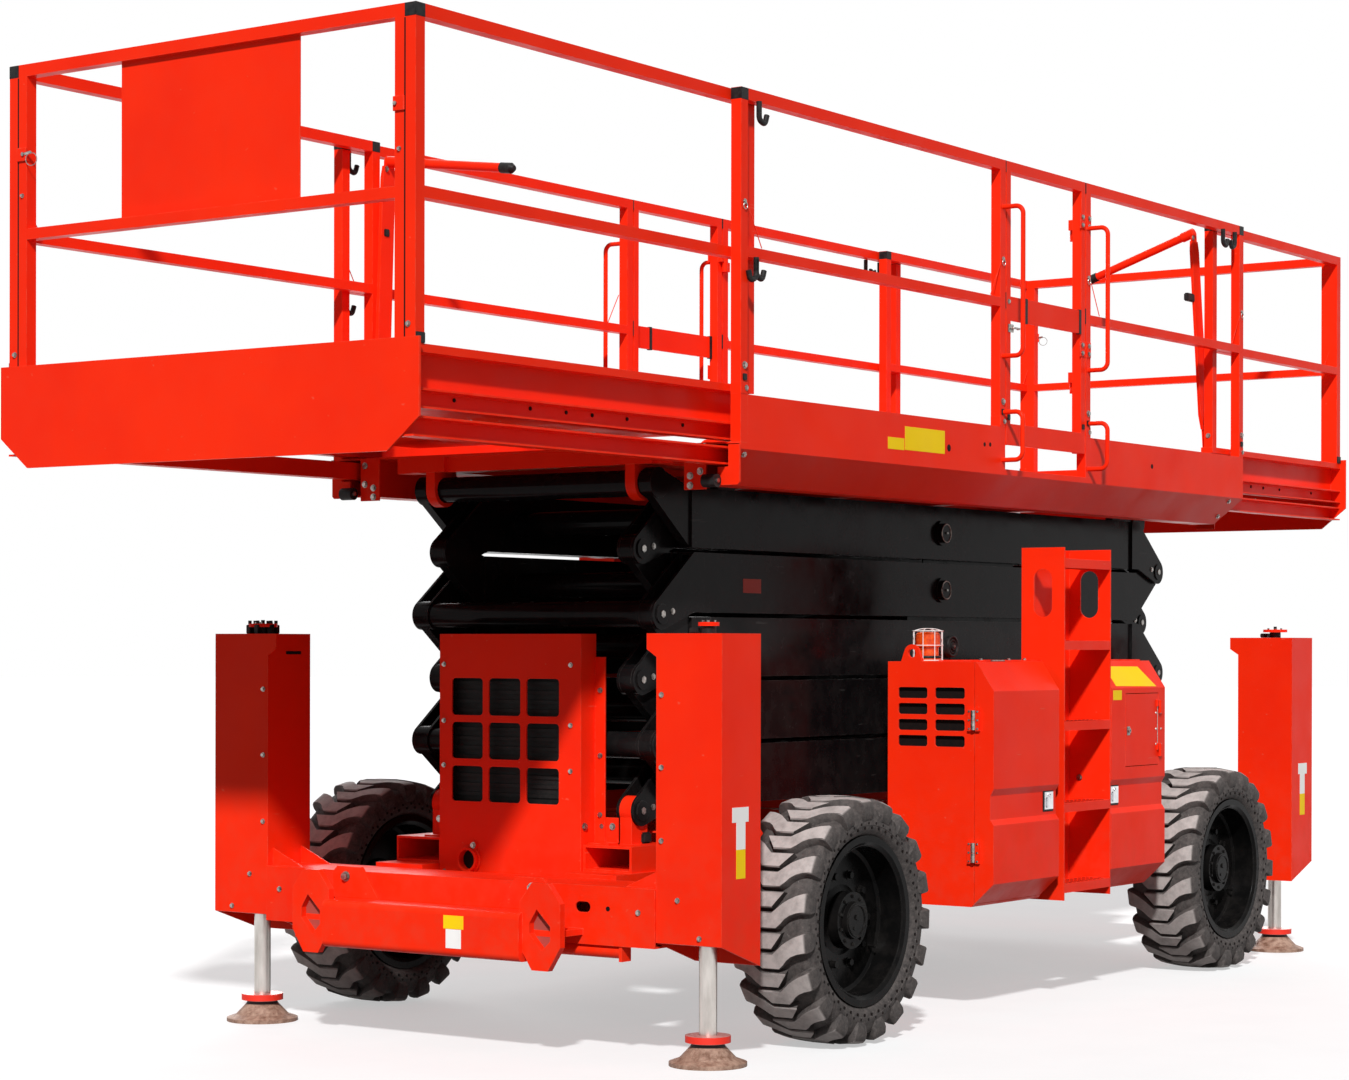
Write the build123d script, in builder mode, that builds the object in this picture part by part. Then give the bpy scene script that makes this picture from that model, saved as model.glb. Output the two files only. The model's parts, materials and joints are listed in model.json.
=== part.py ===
from build123d import *
from math import acos, asin, atan2, cos, degrees, hypot, radians, sin, sqrt
import os

# Rough-terrain scissor lift, in millimetres. +X is the radiator end (front), +Y the left side, +Z up.
# The origin is on the ground, midway between the two toe plates of the pulled-out decks.

# ---- whole machine ----
front_reach = 3520          # chassis middle to the face of the front toe plate
rear_reach = 3200           # chassis middle to the face of the rear toe plate
mid_x = (rear_reach - front_reach) / 2
wall = 6                    # bent sheet steel

# ---- wheels and axles ----
tyre_r = 415                # over the lugs
tyre_half = 150             # half the width over the lugs
lug_h = 30
lugs_per_side = 16
bead_r = 258                # where the tyre sits on the rim
rim_lip_r = 285
axle_z = tyre_r
front_axle_x = mid_x + 1530
rear_axle_x = mid_x - 1345
wheel_y = 995               # middle plane of a wheel
kingpin_y = 800
axle_tube_r = 65
spindle_r = 56
turn_gap = 0.3              # radial clearance of pins and shafts

# ---- scissor stack ----
levels = 5
pitch = 221                 # height between pins while stowed
pin0_z = 774                # pins on the chassis
front_pin_x = mid_x + 1860
rear_pin_x = mid_x - 1900
inner_y = 410               # middle of an inner arm's band
outer_y = 490               # middle of an outer arm's band
arm_h = 205                 # height of an arm's rectangular tube
arm_half = 25               # half the tube's thickness
arm_wall = 8
arm_taper = 190             # pin to the end of the tube
lap = 60                    # how far an end plate laps the tube
fork_t = 10                 # thickness of a fork plate
tongue_half = 17
boss_half = 24
boss_r = 52
pin_r = 25
cross_tube_r = 45
cross_tube_in = 400         # pin to the tube that joins a pair of inner arms
centre_pin_r = 28
centre_boss_r = 48
collar_r = 38
roller_r = 66
upper_roller_r = 56

# ---- lift cylinders ----
cyl_base_in = 1200          # front pin to the barrel's foot, along the lower arm
cyl_eye_in = 600            # rear pin to the rod's eye, along the upper arm
cyl_eye_drop = 40           # rod eye below the middle of its arm
barrel_r = 70
barrel_len = 1500
ram_r = 40
lug_gap = 5                 # side clearance of the open rod eye

# ---- chassis ----
rail_in = 370
rail_out = 530
rail_z = (500, 700)
rail_front_x = mid_x + 1760
rail_rear_x = mid_x - 2070
beam_x = (2110, 2330)       # front outrigger beam, from the chassis middle
beam_z = (370, 560)
bumper_x = (2390, 2500)
bumper_z = (316, 475)
bumper_half = 420
pocket_y = (310, 510)
pocket_z = (574, 662)
pocket_front_x = mid_x + 2010

# ---- outriggers ----
front_jack_x = mid_x + 2214
rear_jack_x = mid_x - 2170
jack_y = 960
housing_half_x = 109
housing_half_y = 126
housing_top = 1370
housing_low_outer = 390
housing_low_inner = 314
jack_rod_r = 29
jack_barrel_r = 60
foot_r = 125

# ---- cabinets and ladders ----
cab_front_x = mid_x + 666
cab_rear_x = mid_x - 720
cab_in_y = 690
cab_out_y = 1130
cab_split_y = 1050          # where a door meets the fixed cabinet
cab_z = (395, 1275)
recess_x = (mid_x - 252, mid_x + 165)
recess_y = 950
door_gap = 5
ladder_x = (mid_x - 250, mid_x + 130)
ladder_z = (385, 1700)
rung_z = (447, 747, 1051, 1352, 1658)
rung_h = 34
louvre_y = ((734, 856), (888, 1011))
louvre_z = (968, 1026, 1084, 1142)
louvre_h = 40
eye_y = 790                 # lifting eye on the cabinet's front edge
eye_z = cab_z[1] + 30

# ---- radiator ----
rad_half = 307
rad_z = (479, 1370)
rad_front_x = mid_x + 2020
rad_depth = 84

# ---- platform ----
deck_front_x = mid_x + 1925
deck_rear_x = mid_x - 1992
floor_z = 2000
floor_t = 6
kerb_z = floor_z - 3        # ledge that carries the guard rails
track_low_z = 1940          # underside over the arms
post = 40
main_post_y = 886           # outer face of the main rails
ext_post_y = 838            # outer face of the extension rails
toe_top_z = 2155
rail_top_z = 3158
mid_rail_z = 2640           # top of the mid rails
rail_h = 38
mid_rail_h = 34
ext_floor_z = 2064
ext_top_z = 2190
runner_y = (775, 835)
runner_z = (1925, 1985)
sill_floor_z = 1867
plate_half = 863
plate_z = (1885, 2207)
plate_t = 8
gate_front_x = mid_x + 135
gate_rear_x = mid_x - 503
gate_gap = 8
gate_pivot = (gate_rear_x - 2.5, main_post_y - post - 14)
door_pivot_out = 10         # cabinet's end face to a door's hinge pin
door_pivot_y = cab_split_y + 1.5
hatch_pivot_out = 7         # door's face to the hatch's hinge pin
pin_gap = 0.1               # radial clearance of hinge pins
platform_lug_y = (415, 455)
platform_lug_r = 60
grab_r = 9
grab_out = 85               # rail's face to the middle of a grab handle
push_bar_r = 17

os.makedirs("parts", exist_ok=True)


# ---------------------------------------------------------------- helpers
def block(x, y, z, mode=Mode.ADD):
    """A box between two values along each axis."""
    with Locations(((x[0] + x[1]) / 2, (y[0] + y[1]) / 2, (z[0] + z[1]) / 2)):
        Box(abs(x[1] - x[0]), abs(y[1] - y[0]), abs(z[1] - z[0]), mode=mode)


def both_sides(x, y, z, mode=Mode.ADD):
    """The same box on the left and on the right."""
    for side in (1, -1):
        block(x, (side * y[0], side * y[1]), z, mode)


def across(points, y0, y1, mode=Mode.ADD):
    """An outline in X and Z, solid from one Y to another."""
    with BuildSketch(Plane.XZ.offset(-max(y0, y1))) as outline:
        with BuildLine():
            Polyline(*points, close=True)
        make_face()
    extrude(outline.sketch, amount=abs(y1 - y0), mode=mode)


def along(points, x0, x1, side=1, mode=Mode.ADD):
    """An outline in Y and Z, solid from one X to another; side -1 puts it on the right."""
    with BuildSketch(Plane.YZ.offset(min(x0, x1))) as outline:
        with BuildLine():
            Polyline(*[(side * y, z) for y, z in points], close=True)
        make_face()
    extrude(outline.sketch, amount=abs(x1 - x0), mode=mode)


def bar_x(y, z, r, x0, x1, mode=Mode.ADD):
    with Locations(Location(((x0 + x1) / 2, y, z), (0, 90, 0))):
        Cylinder(r, abs(x1 - x0), mode=mode)


def bar_y(x, z, r, y0, y1, mode=Mode.ADD):
    with Locations(Location((x, (y0 + y1) / 2, z), (90, 0, 0))):
        Cylinder(r, abs(y1 - y0), mode=mode)


def bar_z(x, y, r, z0, z1, mode=Mode.ADD):
    with Locations((x, y, (z0 + z1) / 2)):
        Cylinder(r, abs(z1 - z0), mode=mode)


def turned(x, y, z, points, side=1):
    """A ring or disc about the Y axis through (x, y, z); points are (outwards, radius)."""
    with BuildSketch(Plane((x, y, z), x_dir=(0, side, 0), z_dir=(side, 0, 0))) as profile:
        with BuildLine():
            Polyline(*points, close=True)
        make_face()
    revolve(profile.sketch, axis=Axis((x, y, z), (0, 1, 0)))


def turned_z(x, y, z, points):
    """A post or disc about the vertical through (x, y); points are (radius, height)."""
    with BuildSketch(Plane((x, y, z), x_dir=(1, 0, 0), z_dir=(0, -1, 0))) as profile:
        with BuildLine():
            Polyline(*points, close=True)
        make_face()
    revolve(profile.sketch, axis=Axis((x, y, z), (0, 0, 1)))


def touch_point(px, pz, cx, cz, r, turn):
    """Where a line from (px, pz) touches the circle about (cx, cz)."""
    far = hypot(px - cx, pz - cz)
    angle = atan2(pz - cz, px - cx) + turn * acos(r / far)
    return cx + r * cos(angle), cz + r * sin(angle)


def hinge_half(x, y, z_list, high, r, pin, leaf_x, leaf_y, moving):
    """Knuckles and leaves of one side of a hinge; the moving side carries the pins."""
    for z in z_list:
        z0 = z + high + 1 if moving else z
        bar_z(x, y, r, z0, z0 + high)
        block(leaf_x, leaf_y, (z0, z0 + high))
        if moving:
            bar_z(x, y, pin, z, z0)
        else:
            bar_z(x, y, pin + pin_gap, z0, z0 + high, Mode.SUBTRACT)


def save(piece, name):
    piece.part.label = name
    export_step(piece.part, f"parts/{name}.step")


# ---------------------------------------------------------------- tyres, rims
# Lug outline on the tread: (along the tread, from the middle towards the shoulder)
lug_outline = [(-48, -6), (-2, -6), (18, 62), (52, 84), (52, 150), (-6, 150), (-6, 108), (-40, 84)]
lug_reach = max(abs(along_tread) for along_tread, _ in lug_outline)
lug_face_r = sqrt(tyre_r**2 - lug_reach**2)
lug_foot_r = tyre_r - lug_h - 22
carcass = [(-118, bead_r), (-118, 288), (-138, 302), (-142, 345), (-126, 380),
           (126, 380), (142, 345), (138, 302), (118, 288), (118, bead_r)]
rim_profile = [(95, 0), (95, 60), (80, 64), (80, 95), (38, 97), (32, 118), (32, 234), (38, 246),
               (120, 249), (131, 262), (131, rim_lip_r), (118.3, rim_lip_r), (118.3, bead_r - turn_gap),
               (-118.3, bead_r - turn_gap), (-118.3, rim_lip_r), (-131, rim_lip_r), (-131, 262),
               (-120, 249), (12, 249), (20, 236), (20, 118), (14, 108),
               (14, spindle_r + turn_gap), (60, spindle_r + turn_gap), (60, 0)]


def make_tyre(name, x, side):
    centre = Vector(x, side * wheel_y, axle_z)
    with BuildPart() as tyre:
        turned(x, side * wheel_y, axle_z, carcass, side)
        for half in (1, -1):
            for step in range(lugs_per_side):
                turn = radians(-90 + (step + (0.5 if half < 0 else 0)) * 360 / lugs_per_side)
                turn -= asin(lug_reach / tyre_r)
                up = Vector(cos(turn), 0, sin(turn))
                seat = Plane(centre + up * lug_foot_r, x_dir=(sin(turn), 0, -cos(turn)), z_dir=up)
                with BuildSketch(seat) as lug:
                    with BuildLine():
                        Polyline(*[(s, half * w) for s, w in lug_outline], close=True)
                    make_face()
                extrude(lug.sketch, amount=lug_face_r - lug_foot_r)
    save(tyre, name)


def make_rim(name, x, side):
    with BuildPart() as rim:
        turned(x, side * wheel_y, axle_z, rim_profile, side)
    save(rim, name)


corners = [("front_left", front_axle_x, 1), ("front_right", front_axle_x, -1),
           ("rear_left", rear_axle_x, 1), ("rear_right", rear_axle_x, -1)]
for corner, x, side in corners:
    make_tyre(f"tyre_{corner}", x, side)
    make_rim(f"rim_{corner}", x, side)

# ---------------------------------------------------------------- axles, knuckles
knuckle_half = 125          # half the height over the knuckle's two arms
knuckle_arm_t = 30
kingpin_r = 22
kingpin_boss_r = 40          # clear of the wheel that turns round it
diff_profile = [(-740, axle_tube_r), (-230, axle_tube_r), (-110, 150), (-50, 170), (50, 170),
                (110, 150), (230, axle_tube_r), (740, axle_tube_r)]


def make_axle(name, x, steered):
    with BuildPart() as axle:
        turned(x, 0, axle_z, diff_profile + [(740, 0), (-740, 0)])
        bar_x(0, axle_z, 90, x + (-210 if steered else 210), x)
        both_sides((x - 75, x + 75), (400, 500), (axle_z, rail_z[0]))
        for side in (1, -1):
            if steered:
                bar_z(x, side * kingpin_y, kingpin_boss_r, axle_z - 90, axle_z + 90)
                bar_y(x, axle_z, axle_tube_r - 10, side * 735, side * kingpin_y)
                bar_z(x, side * kingpin_y, kingpin_r + turn_gap, axle_z - 90, axle_z + 90, Mode.SUBTRACT)
            else:
                bar_y(x, axle_z, 100, side * 740, side * 770)
                bar_y(x, axle_z, axle_tube_r, side * 770, side * (wheel_y - 65))
                bar_y(x, axle_z, spindle_r, side * (wheel_y - 65), side * (wheel_y + 59))
    save(axle, name)


def make_knuckle(name, side):
    x = front_axle_x
    plate_y = (side * (wheel_y - 110), side * (wheel_y - 80))
    arm_y = (side * (kingpin_y - 50), plate_y[1])
    with BuildPart() as knuckle:
        block((x - 60, x + 60), plate_y, (axle_z - knuckle_half, axle_z + knuckle_half))
        for up in (1, -1):
            arm_z = (axle_z + up * (knuckle_half - knuckle_arm_t), axle_z + up * knuckle_half)
            block((x - 50, x + 50), arm_y, arm_z)
            bar_z(x, side * kingpin_y, kingpin_r, axle_z + up * 50, arm_z[1])
        bar_y(x, axle_z, 75, plate_y[1], side * (wheel_y - 65))
        bar_y(x, axle_z, spindle_r, side * (wheel_y - 65), side * (wheel_y + 59))
        block((x - 170, x), (side * 800, side * 850), (axle_z - knuckle_half, axle_z - knuckle_half + 28))
    save(knuckle, name)


make_axle("front_axle", front_axle_x, True)
make_axle("rear_axle", rear_axle_x, False)
make_knuckle("knuckle_left", 1)
make_knuckle("knuckle_right", -1)


# ---------------------------------------------------------------- scissor arms
def arm_end(x, z, towards, zc, half_in, half_out, band, side):
    """A tapered end plate from the tube to the boss at (x, z)."""
    root = x - towards * (arm_taper + lap)
    top = (x - towards * arm_taper, zc + arm_h / 2)
    low = (x - towards * arm_taper, zc - arm_h / 2)
    upper = touch_point(*top, x, z, boss_r, -towards)
    lower = touch_point(*low, x, z, boss_r, towards)
    outline = [(root, zc + arm_h / 2), top, upper, lower, low, (root, zc - arm_h / 2)]
    for y0, y1 in ((half_in, half_out), (-half_out, -half_in)) if half_in else ((-half_out, half_out),):
        across(outline, side * (band + y0), side * (band + y1))
        bar_y(x, z, boss_r, side * (band + y0), side * (band + y1))


def make_arm(name, level, band, bottom_front, mount_x=None):
    """One scissor arm: a left and a right beam joined by cross tubes."""
    z_low = pin0_z + (level - 1) * pitch
    z_high = z_low + pitch
    zc = (z_low + z_high) / 2
    x_low, x_high = (front_pin_x, rear_pin_x) if bottom_front else (rear_pin_x, front_pin_x)
    towards = 1 if bottom_front else -1
    plate = arm_half + fork_t
    middle_x = (front_pin_x + rear_pin_x) / 2
    with BuildPart() as arm:
        for side in (1, -1):
            beam_y = (side * (band - arm_half), side * (band + arm_half))
            beam_run = (rear_pin_x + arm_taper, front_pin_x - arm_taper)
            block(beam_run, beam_y, (zc - arm_h / 2, zc + arm_h / 2))
            hollow_y = (side * (band - arm_half + arm_wall), side * (band + arm_half - arm_wall))
            block(beam_run, hollow_y, (zc - arm_h / 2 + arm_wall, zc + arm_h / 2 - arm_wall), Mode.SUBTRACT)
            # forked lower end with its pin, tongue at the upper end
            arm_end(x_low, z_low, towards, zc, arm_half, plate, band, side)
            arm_end(x_high, z_high, -towards, zc, 0, tongue_half, band, side)
            bar_y(x_low, z_low, pin_r, side * (band - plate), side * (band + plate + 5))
            bar_y(x_low, z_low, pin_r + 9, side * (band + plate), side * (band + plate + 5))
            bar_y(x_high, z_high, boss_r, side * (band - boss_half), side * (band + boss_half))
            if level < levels:
                bar_y(x_high, z_high, pin_r + turn_gap, side * (band - boss_half), side * (band + boss_half),
                      Mode.SUBTRACT)
            bar_y(middle_x, zc, centre_boss_r, side * (band - plate), side * (band + plate))
            if band == outer_y:
                bar_y(middle_x, zc, centre_pin_r + turn_gap, side * (band - plate), side * (band + plate),
                      Mode.SUBTRACT)
            else:
                bar_y(middle_x, zc, centre_pin_r, side * inner_y, side * (outer_y + plate + 14))
                bar_y(middle_x, zc, collar_r, side * (outer_y + plate + 1), side * (outer_y + plate + 14))
            if level == 1 and band == outer_y:
                bar_y(x_low, z_low, roller_r, side * (band - boss_half), side * (band + boss_half))
            if level == levels and band == inner_y:
                bar_y(x_high, z_high, upper_roller_r, side * (band - boss_half), side * (band + boss_half))
        if band == outer_y:
            bar_y(x_low, z_low, cross_tube_r, -(band - plate), band - plate)
            if level == levels:
                tube_end = band - boss_half + 4
                bar_y(x_high, z_high, cross_tube_r, -tube_end, tube_end)
        else:
            tube_end = band - arm_half + 4
            tubes_x = [front_pin_x - cross_tube_in]
            if bottom_front:
                tubes_x.append(rear_pin_x + cross_tube_in)
            for x in tubes_x:
                bar_y(x, zc, cross_tube_r, -tube_end, tube_end)
        if mount_x is not None:
            cylinder_mount(mount_x, zc, bottom_front)
    save(arm, name)


def cylinder_mount(x, zc, holds_barrel):
    """A cross tube with two lugs for one end of a lift cylinder."""
    eye_z = zc if holds_barrel else zc - cyl_eye_drop
    tube_x = x + 110 if holds_barrel else x
    tube_z = zc if holds_barrel else zc + 62
    bar_y(tube_x, tube_z, 38, -(inner_y - arm_half), inner_y - arm_half)
    half = barrel_r - 15
    for side in (1, -1):
        lug_y = (side * (half + lug_gap), side * (half + lug_gap + 16))
        if holds_barrel:
            block((x, tube_x), lug_y, (eye_z - 34, eye_z + 34))
        else:
            block((x - 34, x + 34), lug_y, (eye_z, tube_z))
        bar_y(x, eye_z, 34, *lug_y)
        if not holds_barrel:
            bar_y(x, eye_z, pin_r, *lug_y, Mode.SUBTRACT)
    if holds_barrel:
        bar_y(x, eye_z, pin_r, -half - lug_gap, half + lug_gap)


for level in range(1, levels + 1):
    odd = level % 2 == 1
    mount = None
    if level < levels:
        mount = front_pin_x - cyl_base_in if odd else rear_pin_x + cyl_eye_in
    make_arm(f"arm_inner_{level}", level, inner_y, odd, mount)
    make_arm(f"arm_outer_{level}", level, outer_y, not odd)


# ---------------------------------------------------------------- lift cylinders
def make_cylinder(stage, level):
    """A barrel on the lower arm and a ram that reaches an arm of the level above."""
    base = Vector(front_pin_x - cyl_base_in, 0, pin0_z + (level - 0.5) * pitch)
    eye = Vector(rear_pin_x + cyl_eye_in, 0, pin0_z + (level + 0.5) * pitch - cyl_eye_drop)
    run = eye - base
    way = run.normalized()
    half = barrel_r - 15
    with BuildPart() as barrel:
        bar_y(base.X, base.Z, 40, -half, half)
        with BuildSketch(Plane(base, x_dir=(0, 1, 0), z_dir=way)) as neck:
            Rectangle(2 * half, 70)
        extrude(neck.sketch, amount=70)
        with BuildSketch(Plane(base + way * 65, x_dir=(0, 1, 0), z_dir=way)) as tube:
            Circle(barrel_r)
        extrude(tube.sketch, amount=barrel_len - 65)
        bar_y(base.X, base.Z, pin_r + turn_gap, -half, half, Mode.SUBTRACT)
        with BuildSketch(Plane(base + way * 110, x_dir=(0, 1, 0), z_dir=way)) as bore:
            Circle(ram_r + turn_gap)
        extrude(bore.sketch, amount=barrel_len, mode=Mode.SUBTRACT)
    save(barrel, f"lift_barrel_{stage}")
    with BuildPart() as ram:
        with BuildSketch(Plane(base + way * 115, x_dir=(0, 1, 0), z_dir=way)) as bar:
            Circle(ram_r)
        extrude(bar.sketch, amount=run.length - 115 - 30)
        bar_y(eye.X, eye.Z, 40, -half, half)
        bar_y(eye.X, eye.Z, pin_r, -half, half, Mode.SUBTRACT)
    save(ram, f"lift_ram_{stage}")


make_cylinder("lower", 1)
make_cylinder("upper", 3)

# ---------------------------------------------------------------- chassis
beam_front = (mid_x + beam_x[0], mid_x + beam_x[1])
beam_rear = (mid_x - 2280, mid_x - 2060)
rad_back_x = rad_front_x - rad_depth
bumper = (mid_x + bumper_x[0], mid_x + bumper_x[1])
housing_in_y = jack_y - housing_half_y
cross_member_x = [mid_x + 1000, mid_x + 60, mid_x - 760, mid_x - 1760]

with BuildPart() as chassis:
    both_sides((rail_rear_x, rail_front_x), (rail_in, rail_out), rail_z)
    both_sides((rail_rear_x + wall, rail_front_x), (rail_in + wall, rail_out - wall),
               (rail_z[0] + wall, rail_z[1] - wall), Mode.SUBTRACT)
    # front platform under the pockets, and the outrigger beams
    block((mid_x + 1722, rad_back_x - 5), (-520, 520), (420, pocket_z[0]))
    both_sides((rad_back_x - 5, beam_front[0]), (rad_half + 3, 520), (420, pocket_z[0]))
    for run in (beam_front, beam_rear):
        block(run, (-housing_in_y, housing_in_y), beam_z)
        block((run[0] + wall, run[1] - wall), (-housing_in_y, housing_in_y),
              (beam_z[0] + wall, beam_z[1] - wall), Mode.SUBTRACT)
        for side in (1, -1):
            gusset = [(housing_in_y - 150, beam_z[1] - 6), (housing_in_y, beam_z[1] - 6),
                      (housing_in_y, beam_z[1] + 60)]
            along(gusset, (run[0] + run[1]) / 2 + 70, (run[0] + run[1]) / 2 + 76, side)
            along(gusset, (run[0] + run[1]) / 2 - 76, (run[0] + run[1]) / 2 - 70, side)
    block((rail_rear_x - 20, rail_rear_x + 60), (-rail_out, rail_out), (beam_z[0] + 60, rail_z[1]))
    for x in cross_member_x:
        block((x - 50, x + 50), (-rail_in, rail_in), (560, 680))
    # fork pockets
    both_sides((rail_front_x, pocket_front_x), pocket_y, pocket_z)
    both_sides((rail_front_x, pocket_front_x), (pocket_y[0] + 8, pocket_y[1] - 8),
               (pocket_z[0] + 8, pocket_z[1] - 8), Mode.SUBTRACT)
    # bumper beam with its end plates
    block((beam_front[1] - 6, bumper[0]), (-300, -240), (390, 450))
    block((beam_front[1] - 6, bumper[0]), (240, 300), (390, 450))
    with BuildSketch(Plane.XZ.offset(-bumper_half)) as bumper_tube:
        with Locations(((bumper[0] + bumper[1]) / 2, (bumper_z[0] + bumper_z[1]) / 2)):
            RectangleRounded(bumper[1] - bumper[0], bumper_z[1] - bumper_z[0], 22)
    extrude(bumper_tube.sketch, amount=2 * bumper_half)
    for side in (1, -1):
        plate_y = side * (bumper_half + 70)
        plate_zc = 432
        octagon = [(plate_y + 82 * a, plate_zc + 140 * b) for a, b in
                   ((-1, -0.45), (-0.4, -1), (0.4, -1), (1, -0.45), (1, 0.55), (0.4, 1), (-0.4, 1), (-1, 0.55))]
        along(octagon, bumper[1] - 45, bumper[1] - 20)
        block((beam_front[1] - 6, bumper[1] - 45), (plate_y - 60, plate_y + 60), (400, 420))
        hexagon = [(plate_y + 42 * a, plate_zc - 10 + 66 * b) for a, b in
                   ((-1, 0.3), (-0.3, 1), (1, 0.2), (1, -0.5), (0.2, -1), (-1, -0.2))]
        along(hexagon, bumper[1] - 45, bumper[1] - 20, mode=Mode.SUBTRACT)
        # folded plate over the bumper, and the bar under the outrigger arm
        along([(bumper_half + 40, bumper_z[1] - 8), (bumper_half + 40, 562), (bumper_half + 20, 582),
               (bumper_half - 90, 582), (bumper_half - 170, bumper_z[1] - 8)], bumper[0] + 2, bumper[0] + 12, side)
        bar_y(beam_front[1] - 30, beam_z[0] - 20, 22, side * 400, side * 700)
        block((beam_front[1] - 55, beam_front[1] - 5), (side * 690, side * 702), (beam_z[0] - 50, beam_z[0] + 10))
        block((beam_front[1] - 34, beam_front[1] - 26), (side * 420, side * 700), (beam_z[0] - 20, beam_z[0]))
        # slot in the arm's front face
        with BuildSketch(Plane.YZ.offset(beam_front[1] - 12)) as slot:
            with Locations((side * (bumper_half + 130), 490)):
                SlotOverall(60, 34)
        extrude(slot.sketch, amount=24, mode=Mode.SUBTRACT)
        # pivot lug for the lowest inner arm
        lug_y = (side * (inner_y - boss_half), side * (inner_y + boss_half))
        block((front_pin_x - 45, front_pin_x + 45), lug_y, (pocket_z[1] - 8, pin0_z))
        bar_y(front_pin_x, pin0_z, boss_r - 2, *lug_y)
        bar_y(front_pin_x, pin0_z, pin_r + turn_gap, *lug_y, Mode.SUBTRACT)
        # lip beside the roller track
        block((mid_x - 2060, mid_x - 200), (side * rail_out, side * (rail_out + 8)), (600, 745))
        # cabinet brackets
        for x in (mid_x + 420, mid_x - 480):
            block((x - 40, x + 40), (side * rail_out, side * cab_in_y), (510, 600))
save(chassis, "chassis_frame")


# ---------------------------------------------------------------- outriggers
def make_housing(name, x, outward, side, cap_r):
    """A bent sheet cover with the jack's barrel inside; outward is +1 at the front."""
    y = (side * (jack_y - housing_half_y), side * (jack_y + housing_half_y))
    out_x = x + outward * housing_half_x
    in_x = x - outward * housing_half_x
    low = [(out_x, housing_low_outer), (in_x, housing_low_inner)]
    with BuildPart() as housing:
        across(low + [(in_x, housing_top), (out_x, housing_top)], *y)
        inset = outward * wall
        across([(out_x - inset, 0), (in_x + inset, 0), (in_x + inset, housing_top - wall),
                (out_x - inset, housing_top - wall)], y[0] + side * wall, y[1] - side * wall, Mode.SUBTRACT)
        bar_z(x, side * jack_y, jack_barrel_r, 420, housing_top)
        bar_z(x, side * jack_y, jack_rod_r + turn_gap, 400, 1310, Mode.SUBTRACT)
        bar_z(x, side * jack_y, 20, housing_top - 3, housing_top + 24)
        bar_z(x, side * jack_y, cap_r, housing_top + 24, housing_top + 36)
        # lip along the top inner edge of the front plate
        lip_x = x + housing_half_x
        lip = [(jack_y - housing_half_y + 2, housing_top - 76), (jack_y - housing_half_y - 38, housing_top - 50),
               (jack_y - housing_half_y - 38, housing_top), (jack_y - housing_half_y + 2, housing_top)]
        along(lip, lip_x - wall, lip_x, side)
    save(housing, name)


foot_profile = [(0, 0), (foot_r, 0), (foot_r, 12), (92, 24), (56, 62), (50, 74), (0, 74)]


def make_jack(name, x, side):
    with BuildPart() as jack:
        turned_z(x, side * jack_y, 0, foot_profile)
        bar_z(x, side * jack_y, 73, 74, 96)
        bar_z(x, side * jack_y, jack_rod_r, 90, 1000)
    save(jack, name)


# corner, place, which end, which side, radius of the cap on the jack's head
outriggers = [("front_left", front_jack_x, 1, 1, 34), ("front_right", front_jack_x, 1, -1, 52),
              ("rear_left", rear_jack_x, -1, 1, 52), ("rear_right", rear_jack_x, -1, -1, 52)]
for corner, x, outward, side, cap_r in outriggers:
    make_housing(f"outrigger_{corner}", x, outward, side, cap_r)
    make_jack(f"jack_{corner}", x, side)

# ---------------------------------------------------------------- radiator
opening_y = [(-253, -116), (-90, 48), (74, 214)]
opening_z = [(793, 915), (940, 1066), (1090, 1218)]
with BuildPart() as radiator_cover:
    block((rad_back_x, rad_front_x), (-rad_half, rad_half), rad_z)
    block((rad_back_x, rad_front_x - wall), (-rad_half + wall, rad_half - wall),
          (0, rad_z[1] - wall), Mode.SUBTRACT)
    with BuildSketch(Plane.YZ.offset(rad_front_x - 20)) as openings:
        for y0, y1 in opening_y:
            for z0, z1 in opening_z:
                with Locations(((y0 + y1) / 2, (z0 + z1) / 2)):
                    RectangleRounded(y1 - y0, z1 - z0, 14)
    extrude(openings.sketch, amount=40, mode=Mode.SUBTRACT)
    both_sides((rad_back_x, rad_back_x + wall), (rad_half, rad_half + 42), (pocket_z[1] + 3, 1292))
    bar_x(-170, 593, 42, rad_front_x - 20, rad_front_x + 22)
    bar_x(-170, 593, 34, rad_front_x - 40, rad_front_x + 30, Mode.SUBTRACT)
    block((rad_front_x - wall, beam_front[0]), (-rad_half, rad_half), (rad_z[0], rad_z[0] + wall))
save(radiator_cover, "radiator_cover")

core_x = (rad_front_x - 74, rad_front_x - 34)
with BuildPart() as radiator_core:
    block(core_x, (-rad_half + wall, rad_half - wall), (rad_z[0] + 20, 1300))
    for step in range(1, 16):
        z = 760 + step * 32
        block((core_x[1] - 6, core_x[1]), (-262, 262), (z, z + 20), Mode.SUBTRACT)
save(radiator_core, "radiator_core")


# ---------------------------------------------------------------- cabinets, doors, ladders
def cab_outline(t):
    """The cabinet's section in Y and Z, drawn in by t, with its recessed waist band."""
    return [(cab_in_y + t, cab_z[0] + t), (1040 - 0.4 * t, cab_z[0] + t), (cab_out_y - t, 480 + 0.4 * t),
            (cab_out_y - t, 690), (cab_out_y - 14 - t, 710), (cab_out_y - 14 - t, 795), (cab_out_y - t, 820),
            (cab_out_y - t, 1170 - 0.5 * t), (1060 - 0.5 * t, cab_z[1] - t), (cab_in_y + t, cab_z[1] - t)]


door_hinge_z = (560, 1035)
hatch_hinge_z = (900, 1070)


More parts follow.
